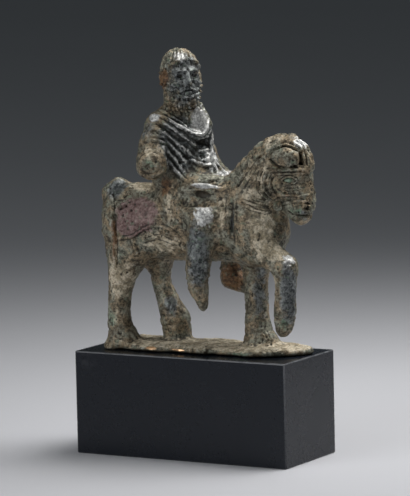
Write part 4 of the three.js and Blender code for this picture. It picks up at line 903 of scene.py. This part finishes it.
def makeBronze():
    material, g = newMaterial("oldBronze")
    where = g("ShaderNodeTexCoord").outputs["Object"]
    tint = {}
    for name in (*tintPlaces, "wornAndSheen", "hollow", "deep"):
        tint[name] = g("ShaderNodeAttribute", attribute_name=name).outputs["Fac"]
    broad = g.noise(where, 70, 4, 0.6)
    patchy = g.noise(where, 330, 6, 0.68, 0.4)
    fine = g.noise(where, 1150, 4, 0.7)
    warm = g.noise(where, 210, 4, 0.6, 0.6)
    grit = g("ShaderNodeGroup", {"Vector": where, "Scale": 1500, "Amount": 0.55}, node_tree=speckle)

    def tinted(name, gain, low, high, wobble=1.5, extra=None):
        # the tint's own place, its edge broken by the patchy noise
        centred = g.math("MULTIPLY_ADD", tint[name], gain, -0.5 * wobble)
        value = g.math("MULTIPLY_ADD", patchy, wobble, centred)
        if extra is not None:
            value = g.math("ADD", value, extra)
        return g.step(value, low, high)

    def coated(under, area, name, pattern):
        return g.mix(area, under, g.mix(pattern, *patina[name]))

    # dark olive-brown metal, mottled in patches and in fine specks
    patches = g.step(patchy, 0.44, 0.58)
    specks = g.step(fine, 0.43, 0.57)
    mottle = g.math("MULTIPLY_ADD", specks, 0.55, g.math("MULTIPLY", patches, 0.45))
    ground = g.mix(g.step(broad, 0.38, 0.62), *patina["metal"])
    ground = coated(ground, mottle, "mottle", g.step(warm, 0.42, 0.58))
    cloth = tinted("cloth", 1.0, 0.3, 0.7, 0.9)
    slate = g.math("MAXIMUM", tinted("slate", 1.0, 0.35, 0.75), cloth)
    ground = coated(ground, slate, "slate", mottle)
    ground = coated(ground, tinted("rust", 1.0, 0.4, 0.8), "rust", mottle)
    ground = coated(ground, tinted("maroon", 1.1, 0.4, 0.7), "maroon", mottle)
    ground = coated(ground, tinted("green", 0.9, 0.5, 0.8, 1.9), "green", mottle)
    flecks = g.step(g.noise(where, 620, 3, 0.65, 0.5), 0.585, 0.66)
    ground = g.mix(g.math("MULTIPLY", flecks, 0.5), ground, patina["flecks"])
    # tan earth in the broad hollows, and painted shade darkening the sharp grooves
    lying = g.math("MULTIPLY", tint["deep"], 0.4)
    earth = tinted("earth", 1.05, 0.38, 0.78, 1.9, lying)
    thick = g.math("MULTIPLY", earth, g.math("MULTIPLY_ADD", specks, 0.5, 0.45))
    ground = coated(ground, thick, "earth", patches)
    # painted shade: the near hollows are darkened where shade would fall
    groove = g.step(tint["hollow"], 0.08, 0.6)
    ground = g.mix(g.math("MULTIPLY", groove, 0.85), ground, patina["groove"])
    dirt = g.math("MULTIPLY", g.step(grit.outputs["Specks"], 0.2, 0.8), 0.6)
    ground = g.mix(dirt, ground, patina["dirt"])
    # rubbed high places and a painted sheen lightening every ridge, strongest on the cloak, and the bare
    # scratches
    shine = g.math("MULTIPLY_ADD", cloth, 0.4, 0.42)
    # painted highlight: the ridges are made lighter in colour
    raised = g.math("MULTIPLY", g.step(tint["hollow"], -0.1, -0.6), shine)
    wornAndSheen = tinted("wornAndSheen", 1.0, 0.38, 0.85, 0.8, raised)
    ground = coated(ground, wornAndSheen, "wornAndSheen", specks)
    gold = tinted("gold", 1.4, 0.6, 0.75, 1.0)
    ground = g.mix(gold, ground, patina["gold"])

    metal = g.math("MULTIPLY_ADD", slate, 0.25, 0.35)
    metal = g.math("MULTIPLY", metal, g.math("SUBTRACT", 1.0, earth))
    metal = g.math("MAXIMUM", metal, g.math("MULTIPLY", wornAndSheen, 0.6))
    metal = g.math("MAXIMUM", metal, gold)
    rough = g.math("MULTIPLY_ADD", fine, 0.3, 0.42)
    rough = g.math("MULTIPLY_ADD", earth, 0.25, rough)
    rough = g.math("MULTIPLY_ADD", g.math("MAXIMUM", wornAndSheen, slate), -0.08, rough)
    rough = g.math("MULTIPLY_ADD", gold, -0.2, rough, clamp=True)
    grain = g.math("MULTIPLY_ADD", patchy, 0.8, grit.outputs["Grain"])
    relief = g.math("MULTIPLY_ADD", grit.outputs["Specks"], -0.5, grain)
    bump = g("ShaderNodeBump", {"Strength": 0.55, "Distance": 0.00022, "Height": relief})
    feeds = {"Base Color": ground, "Metallic": metal, "Roughness": rough, "Normal": bump.outputs["Normal"]}
    shader = g("ShaderNodeBsdfPrincipled", feeds)
    g("ShaderNodeOutputMaterial", {"Surface": shader.outputs["BSDF"]})
    return material


tintCasting(bronzePiece)
bronzePiece.data.materials.append(makeBronze())
print("stage: bronze finish")

# the plinth: a lacquered block with softly polished arrises

block = {
    "arris": 0.55,  # mm
    "steps": 4,
    "black": (0.0060, 0.0085, 0.0140),
    "dusty": (0.030, 0.033, 0.040),
    "arrisWearAndHighlight": (0.150, 0.155, 0.165),  # along the top arrises, rubbed wear and a painted highlight
    "scuffShift": (0.0345, 0.0172, -0.0325),  # metres, brings the scuff's place to the origin
}


def cutPlinth():
    low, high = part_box("plinth")
    mesh = bpy.data.meshes.new("plinth_block")
    bm = bmesh.new()
    bmesh.ops.create_cube(bm, size=1.0)
    bmesh.ops.scale(bm, vec=high - low, verts=bm.verts)
    bmesh.ops.translate(bm, vec=(low + high) / 2, verts=bm.verts)
    arris = block["arris"] * mm
    settings = {"segments": block["steps"], "affect": "EDGES", "profile": 0.5, "material": -1}
    bmesh.ops.bevel(bm, geom=bm.edges[:], offset=arris, **settings)
    bm.to_mesh(mesh)
    bm.free()
    mesh.shade_smooth()
    piece = bpy.data.objects.new("plinth_block", mesh)
    scene.collection.objects.link(piece)
    flat = piece.modifiers.new("flatFaces", "WEIGHTED_NORMAL")
    flat.keep_sharp = True
    applyModifiers(piece)
    # how much of the polish is rubbed off and how much painted highlight lies on the arris: the rounded
    # strips round the top most, the corners a little
    mesh = piece.data
    co = np.empty(len(mesh.vertices) * 3, np.float32)
    mesh.vertices.foreach_get("co", co)
    corners = co.reshape(-1, 3)
    lowest, highest = np.array(low), np.array(high)
    inset = np.minimum(corners - lowest, highest - corners)
    turning = (inset > 0.02 * mm) & (inset < 0.9 * arris)
    atTop = (highest[2] - corners[:, 2] < arris * 1.01) & (turning.sum(1) > 0)
    storeValues(mesh, "arrisWearAndHighlight", np.where(atTop, 1.0, np.where(turning.sum(1) > 1, 0.2, 0.0)))
    return piece


def makeLacquer():
    material, g = newMaterial("blackLacquer")
    where = g("ShaderNodeTexCoord").outputs["Object"]
    cloudy = g.noise(where, 55, 4, 0.6)
    dust = g("ShaderNodeGroup", {"Vector": where, "Scale": 900, "Amount": 0.22}, node_tree=speckle)
    # a faint scuff at the top of the front, near its left end
    aside = g("ShaderNodeMapping", {"Vector": where, "Location": block["scuffShift"]})
    away = g("ShaderNodeVectorMath", {0: aside.outputs["Vector"]}, operation="LENGTH").outputs["Value"]
    broken = g.step(g.noise(where, 420, 4, 0.7, 0.8), 0.48, 0.7)
    scuff = g.math("MULTIPLY", g.step(away, 0.0055, 0.001), broken)
    specks = g.math("MULTIPLY", dust.outputs["Specks"], 0.35)
    soiled = g.math("MAXIMUM", specks, g.math("MULTIPLY", scuff, 0.7))
    colour = g.mix(soiled, block["black"], block["dusty"])
    arrisWearAndHighlight = g("ShaderNodeAttribute", attribute_name="arrisWearAndHighlight").outputs["Fac"]
    arrisWearAndHighlight = g.math("MULTIPLY", arrisWearAndHighlight, g.step(g.noise(where, 260, 3, 0.6), 0.1, 0.55))
    # painted highlight along the top arrises, broken up like wear
    colour = g.mix(arrisWearAndHighlight, colour, block["arrisWearAndHighlight"])
    rough = g.math("MULTIPLY_ADD", cloudy, 0.1, 0.2)
    rough = g.math("MULTIPLY_ADD", soiled, 0.35, rough)
    rough = g.math("MULTIPLY_ADD", dust.outputs["Grain"], 0.05, rough)
    height = g.math("ADD", cloudy, dust.outputs["Grain"])
    bump = g("ShaderNodeBump", {"Strength": 0.08, "Distance": 0.00005, "Height": height})
    feeds = {"Base Color": colour, "Roughness": rough, "Specular IOR Level": 0.34}
    feeds["Normal"] = bump.outputs["Normal"]
    shader = g("ShaderNodeBsdfPrincipled", feeds)
    g("ShaderNodeOutputMaterial", {"Surface": shader.outputs["BSDF"]})
    return material


plinthPiece = cutPlinth()
plinthPiece.data.materials.append(makeLacquer())
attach(plinthPiece, "root")
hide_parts("plinth")
print("stage: plinth")
